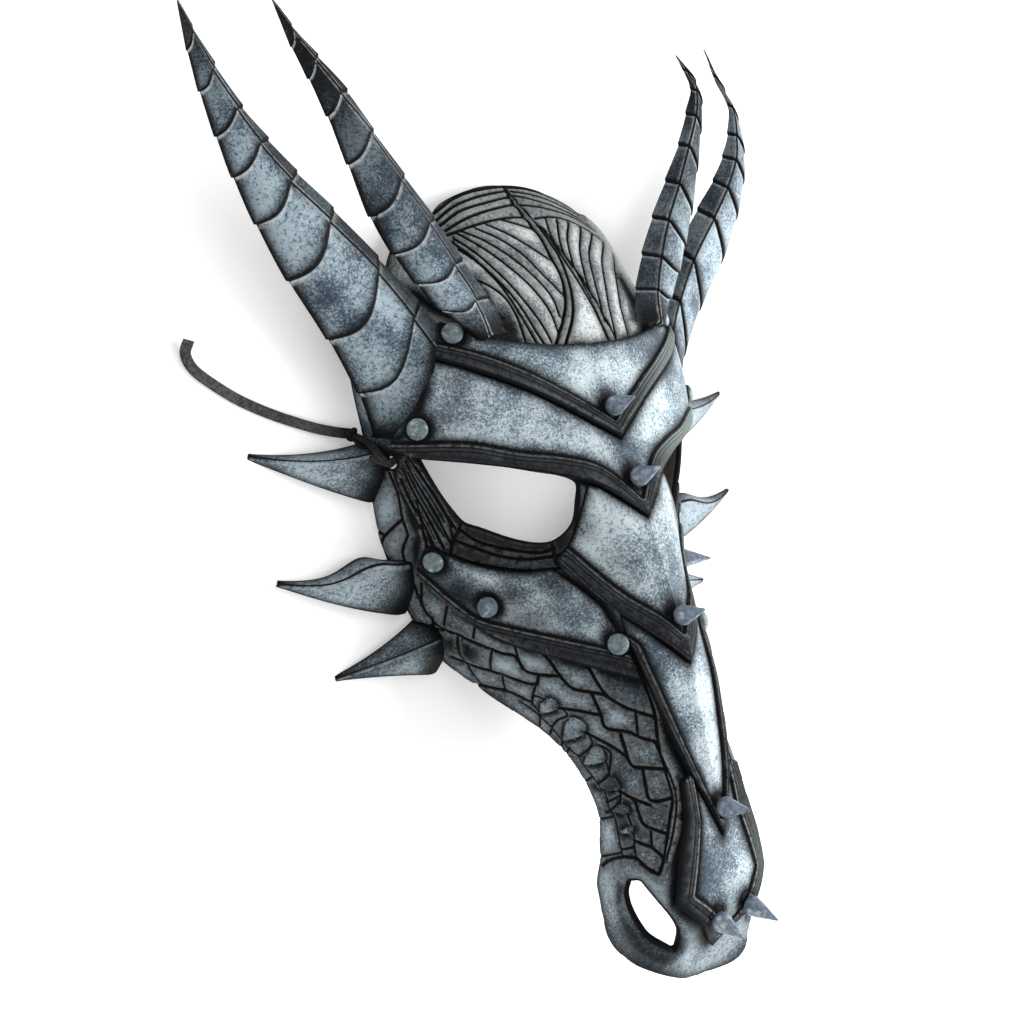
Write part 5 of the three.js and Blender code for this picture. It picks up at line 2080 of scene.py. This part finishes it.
@dataclass(frozen=True)
class Horn:
    """A horn: a folded channel of leather whose face is cut as overlapping scales.

    Its lines run from tip to root on the wearer's left: outer edge, front ridge, inner edge of the strip.
    """

    name: str
    tip: Spot
    edge: tuple[Spot, ...]
    ridge: tuple[Spot, ...]
    strip: tuple[Spot, ...]
    # Darker toward the tip; root_dark is how far painted shade reaches over the foot
    gloom: float = 0.6
    tip_dark: float = 60.0
    root_dark: float = 11.0
    feet: tuple[float, float] = (3.0, 3.0)
    curls: tuple[Spot, Spot] = ((0, 0, 0), (0, 0, 0))

    LEATHER, THICKEST, FLARE = 2.3, 0.6, 0.4
    STEP, STEP_SHARE = 1.0, 0.05
    SAG, ROOT_SAG, BULGE = 0.18, 0.14, 0.16
    POINT, POINT_RINGS = 0.12, 14
    CURL_REACH = 14.0
    ACROSS, SIDE = 34, 14
    FACE_POINTS = ACROSS + SIDE
    PHASES = (0, 0.015, 0.032, 0.05, 0.075, 0.1, 0.15, 0.22, 0.32, 0.44, 0.56, 0.68, 0.79, 0.88, 0.94,
              0.975)
    FOOT_SHARES, FOOT_DROP = (0.25, 0.5, 0.75, 1.0), 0.9
    SCALE_LENGTH = 17.0
    FOLD_INK, EDGE_INK = Mark(1, 0.6), Mark(0.7, 0.6)
    PLEAT_INK, STEP_INK = Mark(0.6, 0.5, 3.2), Mark(1, 0.026, 0.028)
    EDGE_SHADE, FOOT_EDGE_SHADE, RIDGE_SHADE = Shadow(0.95, 4.2), Shadow(0.95, 7), Shadow(0.7, 3)
    UNDER, UNDER_REACH, LIP_SHADE = 0.85, 2.3, Shadow(0.2, 1.5)
    STRIP_SHADE, INSIDE_SHADE = 0.55, 0.9
    LIP, RIDGE_LIP = Mark(1, 0.4, 0.55), Mark(0.45, 0.3, 1.1)
    STRIP_BRIGHT, SCALE_BRIGHT = 0.4, 0.25
    EDGE_BRIGHT, RIDGE_BRIGHT = Shadow(1, 9), Shadow(0.4, 5)

    def lines(self, place: float) -> Points:
        """Edge, ridge and strip at a place counted in scales from the tip.

        Args:
            place: scales from the tip.

        Returns:
            The three points.
        """
        keys = range(len(self.edge))
        rows = [np.array(line, float) for line in (self.edge, self.ridge, self.strip)]
        return np.array([[hermite(keys, line[:, c], place) for c in range(3)] for line in rows])

    def rootward(self, place: float) -> Points:
        """Unit direction toward the root.

        Args:
            place: scales from the tip.

        Returns:
            The direction.
        """
        before, after = self.lines(max(place - 0.5, 0)), self.lines(min(place + 0.5, len(self.edge) - 1))
        way = (after[0] + after[1]) - (before[0] + before[1])
        return way / np.linalg.norm(way)

    def ring(self, lines: Points, rootward: Points, leather: float, lift: float, sag: float) -> Points:
        """One ring: edge, bulged face, ridge and strip, then the same line inside the leather.

        Args:
            lines: a point of the edge, of the ridge and of the strip.
            rootward: direction toward the root.
            leather: thickness.
            lift: how far the ring stands out, as the scales overlap.
            sag: how far the face's middle lies toward the root, as a share of its width.

        Returns:
            The ring's points.
        """
        edge, ridge, strip = lines
        centre = (edge + strip) / 2
        width = np.linalg.norm(ridge - edge)
        along = (ridge - edge) / width
        out = ridge - centre
        out -= along * np.dot(out, along)
        out /= np.linalg.norm(out)
        t = np.linspace(0, 1, self.ACROSS)[:, None]
        bow = np.sin(np.pi * t) * width
        face = edge + (ridge - edge) * t + out * bow * self.BULGE + rootward * bow * sag
        side = ridge + (strip - ridge) * np.linspace(0, 1, self.SIDE + 1)[1:, None]
        line = np.vstack([face, side])
        pull = centre - line
        far = np.linalg.norm(pull, axis=1, keepdims=True)
        inner = line + pull / far * np.minimum(leather, far * self.THICKEST)
        inner[[0, -1]] -= out * self.FLARE
        return np.vstack([line - pull / far * lift, inner[::-1]])

    def rings(self, reach: float) -> tuple[list[Points], list[tuple[float, float]]]:
        """The horn's rings from the tip to the foot.

        Args:
            reach: how far its foot runs on past the last scale, onto the crown and the brow.

        Returns:
            The rings, and for each the number of its scale and its share of that scale.
        """
        last, tip = len(self.edge) - 1, np.array(self.tip)
        rings, marks = [], []
        first = self.lines(0)
        for share in np.linspace(self.POINT, 1, self.POINT_RINGS)[:-1]:
            lines, thin = tip + (first - tip) * share, self.LEATHER * (0.5 + share / 2)
            rings.append(self.ring(lines, self.rootward(0), thin, self.STEP / 2 * share, self.SAG))
            marks.append((-1 + share, share))
        for k in range(last + 1):
            for phase in self.PHASES if k < last else (0.0,):
                place = k + phase
                rise = (phase - self.STEP_SHARE) / (1 - self.STEP_SHARE) - 0.5
                if phase <= self.STEP_SHARE:
                    rise = 0.5 - float(smooth(np.array(phase / self.STEP_SHARE)))
                lift, sag = self.STEP * rise, self.SAG + self.ROOT_SAG * (place / last) ** 8
                rings.append(self.ring(self.lines(place), self.rootward(place), self.LEATHER, lift, sag))
                marks.append((float(k), phase))
        for share in self.FOOT_SHARES:
            foot = rings[-1] + self.rootward(last) * reach * 0.25 * math.cos(share * math.pi / 2) ** 0.5
            ground = np.maximum(skin_height(CROWN, foot) + 0.3, skin_height(FACE, foot) + PLATE_TOP + 0.2)
            drop = np.maximum(foot[:, 2] - ground, 0) * (ground > 0)
            foot[:, 2] -= drop * self.FOOT_DROP * share**1.5
            rings.append(foot)
            marks.append((float(last), 0.0))
        return rings, marks

    def painted(self, ring: Points, scale: float, phase: float) -> dict[str, Points]:
        """Ink, shade, band, rub and back of one ring.

        Args:
            ring: its points.
            scale: number of its scale, counted from the tip.
            phase: its share of that scale.

        Returns:
            One value for each point and attribute.
        """
        line = ring[:self.FACE_POINTS]
        from_edge = np.linalg.norm(line - line[0], axis=1)
        to_ridge = np.linalg.norm(line - line[self.ACROSS - 1], axis=1)
        to_tip = np.linalg.norm(line - np.array(self.tip), axis=1)
        strip = np.arange(self.FACE_POINTS) >= self.ACROSS
        above = max(phase - self.STEP_SHARE, 0) * self.SCALE_LENGTH
        below = (1 - phase) * self.SCALE_LENGTH if above else 0.0
        foot = scale >= len(self.edge) - 2
        flat = np.ones(self.FACE_POINTS)
        step = self.STEP_INK.on(phase) if scale >= 0 else 0.0
        groove = np.maximum.reduce([self.FOLD_INK.on(to_ridge), self.EDGE_INK.on(from_edge),
                                    strip * self.PLEAT_INK.on(to_ridge), flat * step])
        # Darker toward each scale's root end; over the foot this is painted shade where the horn meets the
        # crown and the brow
        under = Shadow(self.UNDER, self.root_dark if foot else self.UNDER_REACH)
        edge_shade = self.FOOT_EDGE_SHADE if foot else self.EDGE_SHADE
        tip = self.gloom * bell(to_tip, self.tip_dark)
        shade = np.maximum.reduce([edge_shade.on(from_edge), self.RIDGE_SHADE.on(to_ridge), tip,
                                   strip * self.STRIP_SHADE, flat * under.on(below),
                                   flat * self.LIP_SHADE.on(above)])
        # Pale lips at each scale's step and along the ridge: rubs and painted glints, brighter toward the
        # edge and the ridge
        ends = self.EDGE_BRIGHT.on(from_edge) + self.RIDGE_BRIGHT.on(to_ridge)
        bright = np.where(strip, self.STRIP_BRIGHT, self.SCALE_BRIGHT + ends)
        lip = bright * self.LIP.on(above) * (above > 0)
        sides = {"groove": (groove, 0), "shade": (shade, self.INSIDE_SHADE * foot), "band": (0, 0),
                 "rub": (np.maximum(lip, self.RIDGE_LIP.on(to_ridge)), 0), BACK: (0, not foot)}
        return {key: np.concatenate([flat * outer, flat * inner]) for key, (outer, inner) in sides.items()}

    def mesh(self, reach: float) -> tuple[Points, list[Face], dict[str, Points]]:
        """Points, faces and attributes of the horn, laid out on the wearer's left.

        Args:
            reach: how far its foot runs on past the last scale.

        Returns:
            The points, the faces and the attributes.
        """
        rings, marks = self.rings(reach)
        painted = [self.painted(ring, *mark) for ring, mark in zip(rings, marks)]
        layers = {key: np.concatenate([one[key] for one in painted]) for key in MARKS}
        return self.seated(np.vstack(rings)), loft(np.array(rings)), layers

    def seated(self, points: Points) -> Points:
        """Keeps the root outside the crown and the face that it stands on.

        Args:
            points: points as rows.

        Returns:
            The moved points.
        """
        for skin, gap in ((CROWN, 0.4), (FACE, FACE_TOP + 0.4)):
            points[:, 2] = np.maximum(points[:, 2], skin_height(skin, points) + gap)
        return points

    def build(self, finishes: Finishes) -> None:
        """Makes the horn on both sides.

        Args:
            finishes: the finishes to dress with.
        """
        for side, sign, reach, curl in zip(("left", "right"), (1, -1), self.feet, self.curls):
            points, faces, layers = self.mesh(reach)
            near = bell(np.linalg.norm(points - np.array(self.tip), axis=1), self.CURL_REACH)
            sided = (points + np.outer(near, curl)) * [sign, 1, 1]
            piece = write_mesh(f"{self.name}_leather_{side}", sided, turned_out(sided, faces), layers)
            dress(piece, finishes.horn, "horn_leather", f"{self.name}_{side}")


HORNS = (
    Horn("horn_outer", (147, 209.5, 1.2),
         ((152, 186, 13), (152, 170, 18), (150, 153, 22), (146, 138, 23.5), (139, 121, 23.5),
          (127, 100, 21.5),
          (110, 77, 18), (96, 55, 14), (89, 38, 12)),
         ((147.5, 195, 11.5), (147, 178, 22), (142, 163, 27), (136, 150, 30), (126, 136, 31.5),
          (112, 121, 33),
          (93, 101, 34), (79, 82, 35), (71, 69, 36)),
         ((146.5, 196, 10), (145, 180, 20), (138, 164, 24), (130, 152, 26), (120, 140, 27),
          (106, 126, 27.5),
          (88, 107, 28), (71, 88, 29), (61, 74, 31)), gloom=0.75,
         curls=((2.7, 3.3, 2.0), (0, 0, 0))),
    Horn("horn_inner", (113.5, 203.5, 16),
         ((115, 186, 26), (112, 174, 30), (107, 160, 32), (101, 142, 33), (94, 122, 33.5), (86, 107, 35),
          (78, 95, 37), (69, 84, 38.5), (58, 75.5, 42)),
         ((112, 193, 24.5), (109, 182, 32), (102, 169, 36), (92, 154, 38.5), (81, 136, 40), (70, 119, 41),
          (61, 102, 42.5), (54, 87, 44.5), (50.5, 72, 47)),
         ((110.5, 194, 22.5), (106, 183, 30), (97, 170, 33.5), (88, 155, 35), (76, 138, 35.5),
          (64, 121, 36),
          (53, 104, 37.5), (44, 88, 40), (36, 73.5, 43.5)), gloom=0.8, tip_dark=95.0, root_dark=24.0,
         feet=(1.5, 0.5), curls=((0, 0, 0), (0.3, 5.6, -2.2))),
)


# How far a stud may be spun, and how far its foot stands off the leather
FULL_TURN = 6.283
STUD_GAP = 0.45


@dataclass(frozen=True)
class StudProfile:
    """Outline of a turned stud: radius against height, both as shares."""

    radius: float
    height: float
    outline: tuple[tuple[float, float], ...]


@dataclass
class Studs:
    """Cast studs of one kind, each standing on its plate."""

    name: str
    slot: str
    profile: StudProfile
    places: dict[str, Spot]
    around: int = 36
    rings: int = 22
    seed: int = 7
    # Share of the stud's height that gets painted shade at its foot
    dark_foot: float = 0.4
    pole_narrowing: float = 40.0
    POLE_GUARD = 1e-4

    def turned_stud(self, w: Wires, source: bpy.types.Node) -> Socket:
        """A ball whose rings are drawn to the stud's outline, with painted shade at its foot.

        Args:
            w: the tree's wires.
            source: the tree's inputs, in which the radius and the height are.

        Returns:
            The stud's mesh.
        """
        ball = w.out("GeometryNodeMeshUVSphere",
                     {"Segments": self.around, "Rings": self.rings, "Radius": 1})
        x, y, z = w.add("ShaderNodeSeparateXYZ", {0: w.out("GeometryNodeInputPosition")}).outputs
        share = w.math("MULTIPLY_ADD", z, 0.5, 0.5)
        flat = w.math("SQRT", w.plus(w.times(x, x), w.times(y, y)))
        curve = w.add("ShaderNodeFloatCurve", {"Value": share})
        line = curve.mapping.curves[0]
        while len(line.points) < len(self.profile.outline):
            line.points.new(0.5, 0.5)
        for point, location in zip(line.points, self.profile.outline):
            point.location = location
        curve.mapping.update()
        pole = w.math("MINIMUM", w.times(flat, self.pole_narrowing), 1.0)
        reach = w.times(w.times(curve.outputs[0], source.outputs["Radius"]), pole)
        flat = w.math("MAXIMUM", flat, self.POLE_GUARD)
        x, y = (w.times(w.math("DIVIDE", side, flat), reach) for side in (x, y))
        up = w.times(share, source.outputs["Height"])
        moved = w.out("ShaderNodeCombineXYZ", {"X": x, "Y": y, "Z": up})
        shaped = w.out("GeometryNodeSetPosition", {"Geometry": ball, "Position": moved})
        # Painted shade: dark over the lowest share of the height, stored as groove
        low = w.math("SUBTRACT", 1.0, w.math("DIVIDE", share, self.dark_foot), clamp=True)
        return w.out("GeometryNodeStoreNamedAttribute",
                     {"Geometry": shaped, "Name": "groove", "Value": low},
                     data_type="FLOAT", domain="POINT")

    def tree(self, material: Material) -> Tree:
        """Geometry nodes that set a turned stud on each point, along its facing attribute.

        Args:
            material: the finish's material.

        Returns:
            The tree.
        """
        inputs = {"Geometry": GEOMETRY, "Radius": VALUE, "Height": VALUE, "Seed": WHOLE}
        w, source = group(self.name, inputs, {"Geometry": GEOMETRY}, "GeometryNodeTree")
        stud = self.turned_stud(w, source)
        facing = w.out("GeometryNodeInputNamedAttribute", {"Name": "facing"}, data_type="FLOAT_VECTOR")
        turn = w.out("FunctionNodeAlignRotationToVector", {"Vector": facing}, axis="Z")
        spin = w.add("FunctionNodeRandomValue", {"Max": FULL_TURN, "Seed": source.outputs["Seed"]},
                     data_type="FLOAT")
        twist = w.out("ShaderNodeCombineXYZ", {"Z": spin.outputs[1]})
        turn = w.out("FunctionNodeRotateRotation", {"Rotation": turn, "Rotate By": twist},
                     rotation_space="LOCAL")
        set_on = w.out("GeometryNodeInstanceOnPoints",
                       {"Points": source.outputs["Geometry"], "Instance": stud, "Rotation": turn})
        return finished(w, set_on, material)

    def build(self, material: Material) -> None:
        """Sets the studs and dresses them.

        Args:
            material: the metal that they are cast in.
        """
        spots = np.array(list(self.places.values()))
        at = FACE.lift(spots[:, 0], spots[:, 1], spots[:, 2])
        carrier = bpy.data.meshes.new(f"{self.name}_places")
        carrier.from_pydata((at * MM).tolist(), [], [])
        normals = FACE.normal(spots[:, 0], spots[:, 1])
        facing = carrier.attributes.new("facing", "FLOAT_VECTOR", "POINT")
        facing.data.foreach_set("vector", normals.ravel())
        values = {"Radius": self.profile.radius * MM, "Height": self.profile.height * MM, "Seed": self.seed}
        piece = baked(in_scene(f"{self.name}_places", carrier), self.tree(material), values, self.name)
        dress(piece, material, self.slot, *self.places)


def finished(w: Wires, geometry: Socket, material: Material) -> Tree:
    """Ends a geometry tree: real meshes, smooth and in their material.

    Args:
        w: the tree's wires.
        geometry: what the tree has made.
        material: the material.

    Returns:
        The tree.
    """
    real = w.out("GeometryNodeRealizeInstances", {"Geometry": geometry})
    soft = w.out("GeometryNodeSetShadeSmooth", {"Geometry": real})
    done = w.out("GeometryNodeSetMaterial", {"Geometry": soft, "Material": material})
    w.add("NodeGroupOutput", {"Geometry": done})
    return w.tree


def baked(holder: Piece, tree: Tree, values: dict[str, float],
          name: str) -> Piece:
    """A plain mesh of what a tree makes on an object, which takes the object's place.

    Args:
        holder: the object that the tree works on.
        tree: the geometry nodes.
        values: their inputs by name, set by socket identifier.
        name: the new piece's name.

    Returns:
        The piece.
    """
    modifier = holder.modifiers.new(name, "NODES")
    modifier.node_group = tree
    for item in tree.interface.items_tree:
        if item.item_type == "SOCKET" and item.in_out == "INPUT" and item.name in values:
            modifier[item.identifier] = values[item.name]
    mesh = bpy.data.meshes.new_from_object(holder.evaluated_get(bpy.context.evaluated_depsgraph_get()))
    mesh.name = name
    piece = in_scene(name, mesh)
    holder.modifiers.clear()
    bpy.data.objects.remove(holder)
    return piece


RIVET = StudProfile(4.5, 2.6, ((0, 0.98), (0.3, 0.97), (0.5, 0.88), (0.7, 0.72), (0.86, 0.5), (0.95, 0.3),
                               (1, 0)))
CONE = StudProfile(4.3, 15, ((0, 0.84), (0.04, 0.9), (0.16, 1.0), (0.3, 0.87), (0.45, 0.72), (0.7, 0.42),
                             (0.93, 0.16), (0.98, 0.09), (1, 0)))


def stud_places(kind: str, **base: Spot) -> dict[str, Spot]:
    """Node names and places of studs on both sides."""
    return {f"{kind}_{key}_{side}": (a * sign, u, lift + STUD_GAP)
            for side, sign in (("left", 1), ("right", -1)) for key, (a, u, lift) in base.items()}


def build_studs(finishes: Finishes) -> None:
    """Rivet caps on the plates' ends, cones down the ridge and on each side.

    Args:
        finishes: the finishes to dress with.
    """
    rivets = stud_places("rivet", brow_upper=(64, 73.5, PLATE_TOP), brow_lower=(87, 37.3, PLATE_TOP),
                         cheek_outer=(93.5, -17.5, PLATE_TOP), cheek_inner=(28, -59.5, BORDER_TOP))
    cones = stud_places("cone", snout=(9.5, -175, BORDER_TOP), cheek=(76, -38.4, PLATE_TOP))
    ridge = {"brow": (36.5, PLATE_TOP), "eye": (6, PLATE_TOP), "nose": (-52, PLATE_TOP),
             "ridge": (-131, BAND_TOP)}
    cones |= {f"cone_{key}": (0.0, up, lift + STUD_GAP) for key, (up, lift) in ridge.items()}
    Studs("rivet_caps", "rivet_metal", RIVET, rivets).build(finishes.rivet)
    Studs("cone_studs", "cone_metal", CONE, cones).build(finishes.cone)


TUBE_POINTS = 14


def tube(name: str, middle: Points, wide: float, thick: float) -> Piece:
    """A rounded thong along a middle line, closed at its ends.

    Args:
        name: the object's name.
        middle: its middle line.
        wide: half its width.
        thick: half its thickness.

    Returns:
        The object.
    """
    heading = np.gradient(middle, axis=0)
    heading /= np.linalg.norm(heading, axis=1, keepdims=True)
    side = np.cross(heading, (0, 0, 1.0))
    side /= np.linalg.norm(side, axis=1, keepdims=True)
    up = np.cross(side, heading)
    bend = np.linspace(0, 2 * math.pi, TUBE_POINTS + 1)[:-1, None]
    rings = middle[:, None] + wide * np.cos(bend) * side[:, None] + thick * np.sin(bend) * up[:, None]
    points, last = rings.reshape(-1, 3), (len(middle) - 1) * TUBE_POINTS
    ends = [tuple(range(TUBE_POINTS))[::-1], tuple(range(last, last + TUBE_POINTS))]
    return write_mesh(name, points, turned_out(points, loft(rings, shut=False) + ends), {})


@dataclass
class Lace:
    """The flat tie lace and the knot at its hole."""

    route: tuple[Spot, ...] = (
        (-96.2, 38.6, 3.6), (-103, 40.4, 1.6), (-112, 43.2, 1.1), (-128, 49.5, 1), (-142, 56.5, 1),
        (-153, 64, 1), (-160, 70, 1.2), (-163, 76, 2.2), (-161.5, 81, 3.6))
    width: float = 4.4
    thickness: float = 1.6
    knot: Spot = (-94.6, 38.2, 4.2)
    knot_radius: float = 3.3
    hole: Place = (105, 25)
    steps: int = 120
    dark: float = 0.75
    dark_reach: float = 14
    knot_dark_reach: float = 30
    corner_power: float = 0.55
    turn_sways: tuple[float, float] = (2.4, -2.6)
    turn_size: tuple[float, float] = (1.7, 0.8)

    KNOT_SHARE = 0.62 / 3
    KNOT_THICKNESS, KNOT_SECTION = 0.36, (1.15, 0.8)
    KNOT_WAIST, KNOT_DEPTH = 0.9, -1.3
    KNOT_STEPS, TURN_STEPS, SECTION_POINTS = 97, 40, 20
    TURN_LIFTS = (2.6, 1.2, -4)
    TURN_RISE = 2.2

    def middle(self) -> Points:
        """The lace's middle line."""
        return catmull(np.array(self.route, float), self.steps)

    def tree(self, material: Material) -> Tree:
        """Geometry nodes that sweep a flat rounded section along the middle line.

        Args:
            material: the finish's material.

        Returns:
            The tree.
        """
        w, source = group("lace sweep", {"Geometry": GEOMETRY, "Width": VALUE, "Thickness": VALUE},
                          {"Geometry": GEOMETRY}, "GeometryNodeTree")
        ring = w.out("GeometryNodeCurvePrimitiveCircle", {"Resolution": self.SECTION_POINTS, "Radius": 1.0})
        place = w.add("ShaderNodeSeparateXYZ", {0: w.out("GeometryNodeInputPosition")})

        def side(axis: str, size: str) -> Socket:
            """One side of a round section, pushed toward a flat one with rounded corners."""
            value = place.outputs[axis]
            bent = w.math("POWER", w.math("ABSOLUTE", value), self.corner_power)
            return w.times(w.times(w.math("SIGN", value), bent), w.times(source.outputs[size], 0.5))

        section = w.out("ShaderNodeCombineXYZ", {"X": side("X", "Width"), "Y": side("Y", "Thickness")})
        flat = w.out("GeometryNodeSetPosition", {"Geometry": ring, "Position": section})
        upright = w.out("GeometryNodeSetCurveNormal", {"Curve": source.outputs["Geometry"]}, mode="Z_UP")
        swept = w.out("GeometryNodeCurveToMesh",
                      {"Curve": upright, "Profile Curve": flat, "Fill Caps": True})
        return finished(w, swept, material)

    def thong(self, material: Material) -> Piece:
        """The flat lace as a plain mesh.

        Args:
            material: the finish's material.

        Returns:
            The mesh's object.
        """
        line = bpy.data.curves.new("lace_line", "CURVE")
        line.dimensions = "3D"
        spline = line.splines.new("POLY")
        spline.points.add(self.steps - 1)
        spline.points.foreach_set("co", np.hstack([self.middle() * MM, np.ones((self.steps, 1))]).ravel())
        values = {"Width": self.width * MM, "Thickness": self.thickness * MM}
        return baked(in_scene("lace_line", line), self.tree(material), values, "tie_lace")

    def overhand(self) -> Piece:
        """A tight overhand knot along a small trefoil, and the two turns of lace from it into the hole.

        Returns:
            The knot's object.
        """
        turn = np.linspace(0, 2 * math.pi, self.KNOT_STEPS)
        knot = np.array(self.knot)
        trefoil = np.stack([np.sin(turn) + 2 * np.sin(2 * turn),
                            self.KNOT_WAIST * (np.cos(turn) - 2 * np.cos(2 * turn)),
                            self.KNOT_DEPTH * np.sin(3 * turn)], 1)
        wide, thick = (self.knot_radius * self.KNOT_THICKNESS * share for share in self.KNOT_SECTION)
        parts = [tube("lace_knot", trefoil * self.knot_radius * self.KNOT_SHARE + knot, wide, thick)]
        spot = [np.array([v]) for v in self.hole]
        hole = FACE.lift(*spot, np.array([FACE_TOP]))[0] * [-1, 1, 1]
        normal = FACE.normal(*spot)[0] * [-1, 1, 1]
        over, outside, within = (normal * lift for lift in self.TURN_LIFTS)
        for sway in self.turn_sways:
            bow = (knot + hole) / 2 + over + np.array([0, sway, self.TURN_RISE])
            way = catmull(np.array([knot, bow, hole + outside, hole + within]), self.TURN_STEPS)
            parts.append(tube(f"lace_turn_{sway}", way, *self.turn_size))
        return welded(parts, "lace_knot")

    def build(self, finishes: Finishes) -> None:
        """Args:
            finishes: the finishes to dress with.
        """
        knot = darkened(self.overhand(), self.knot, self.knot_dark_reach, self.dark)
        dress(knot, finishes.lace, "lace_leather", "lace_knot_right")
        lace = darkened(self.thong(finishes.lace), self.knot, self.dark_reach, self.dark)
        dress(lace, finishes.lace, "lace_leather", "lace_right")
        middle = self.middle()


@dataclass(frozen=True)
class Lamp:
    """A soft square lamp that faces the mask: place and size in metres, power in watts."""

    name: str
    place: Spot
    size: float
    power: float


@dataclass(frozen=True)
class Studio:
    """Pale floor, soft lights, and the camera that looks down on the mask as it lies."""

    eye: Spot = (-0.40257, 0.05102, 0.46451)
    right: Spot = (0.75224, -0.11029, 0.64959)
    up: Spot = (0.14507, 0.98942, 0.0)
    back: Spot = (-0.64272, 0.09424, 0.76028)
    lens: float = 47.04
    sensor: float = 36.0
    floor_size: float = 8.0
    floor_tone: float = 0.9
    floor_glow: float = 0.22
    sky_strength: float = 0.34
    lamps: tuple[Lamp, ...] = (
        Lamp("key", (1.3, 0.0, 0.95), 1.3, 30), Lamp("rim", (0.75, -0.08, 0.36), 0.6, 4),
        Lamp("low", (0.45, -1.2, 0.62), 1.0, 13), Lamp("fill", (-1.1, -0.2, 0.9), 1.2, 7),
        Lamp("top", (-0.35, 1.1, 0.9), 1.0, 5))

    WHITE = (1, 1, 1, 1)

    def camera(self) -> None:
        """Makes the scene's camera."""
        data = bpy.data.cameras.new("camera")
        data.lens, data.sensor_width, data.sensor_fit = self.lens, self.sensor, "HORIZONTAL"
        data.dof.use_dof = False
        camera = in_scene("camera", data)
        turn = Matrix((self.right, self.up, self.back)).transposed()
        camera.matrix_world = Matrix.Translation(self.eye) @ turn.to_4x4()
        bpy.context.scene.camera = camera

    def hang(self, lamp: Lamp) -> None:
        """Hangs one lamp.

        Args:
            lamp: the lamp.
        """
        data = bpy.data.lights.new(lamp.name, "AREA")
        data.shape, data.size, data.energy = "SQUARE", lamp.size, lamp.power
        away = Vector(lamp.place)
        turn = away.to_track_quat("Z", "Y").to_matrix().to_4x4()
        in_scene(lamp.name, data).matrix_world = Matrix.Translation(away) @ turn

    def floor(self) -> None:
        """Lays the floor under the mask."""
        h = self.floor_size / 2
        mesh = bpy.data.meshes.new("floor")
        mesh.from_pydata([(-h, -h, 0), (h, -h, 0), (h, h, 0), (-h, h, 0)], [], [(0, 1, 2, 3)])
        made = bpy.data.materials.new("pale_floor")
        made.use_nodes = True
        inputs = made.node_tree.nodes["Principled BSDF"].inputs
        inputs["Base Color"].default_value = (self.floor_tone,) * 3 + (1,)
        inputs["Roughness"].default_value = 0.9
        inputs["Emission Color"].default_value = self.WHITE
        inputs["Emission Strength"].default_value = self.floor_glow
        mesh.materials.append(made)
        in_scene("floor", mesh)

    def build(self) -> None:
        """Sets up the whole studio."""
        self.camera()
        self.floor()
        world = bpy.data.worlds.new("studio")
        world.use_nodes = True
        sky = world.node_tree.nodes["Background"].inputs
        sky["Color"].default_value = self.WHITE
        sky["Strength"].default_value = self.sky_strength
        bpy.context.scene.world = world
        bpy.context.scene.view_settings.view_transform = "Standard"
        for lamp in self.lamps:
            self.hang(lamp)


def main() -> None:
    """Builds the mask, piece by piece."""
    logging.basicConfig(level=logging.INFO, format="%(name)s: %(message)s")
    Studio().build()
    finishes = make_finishes()
    Lace().build(finishes)
    FaceShell().build(finishes)
    Crown().build(finishes)
    Plates().build(finishes)
    for horn in HORNS:
        horn.build(finishes)
    build_studs(finishes)


if __name__ == "__main__":
    main()
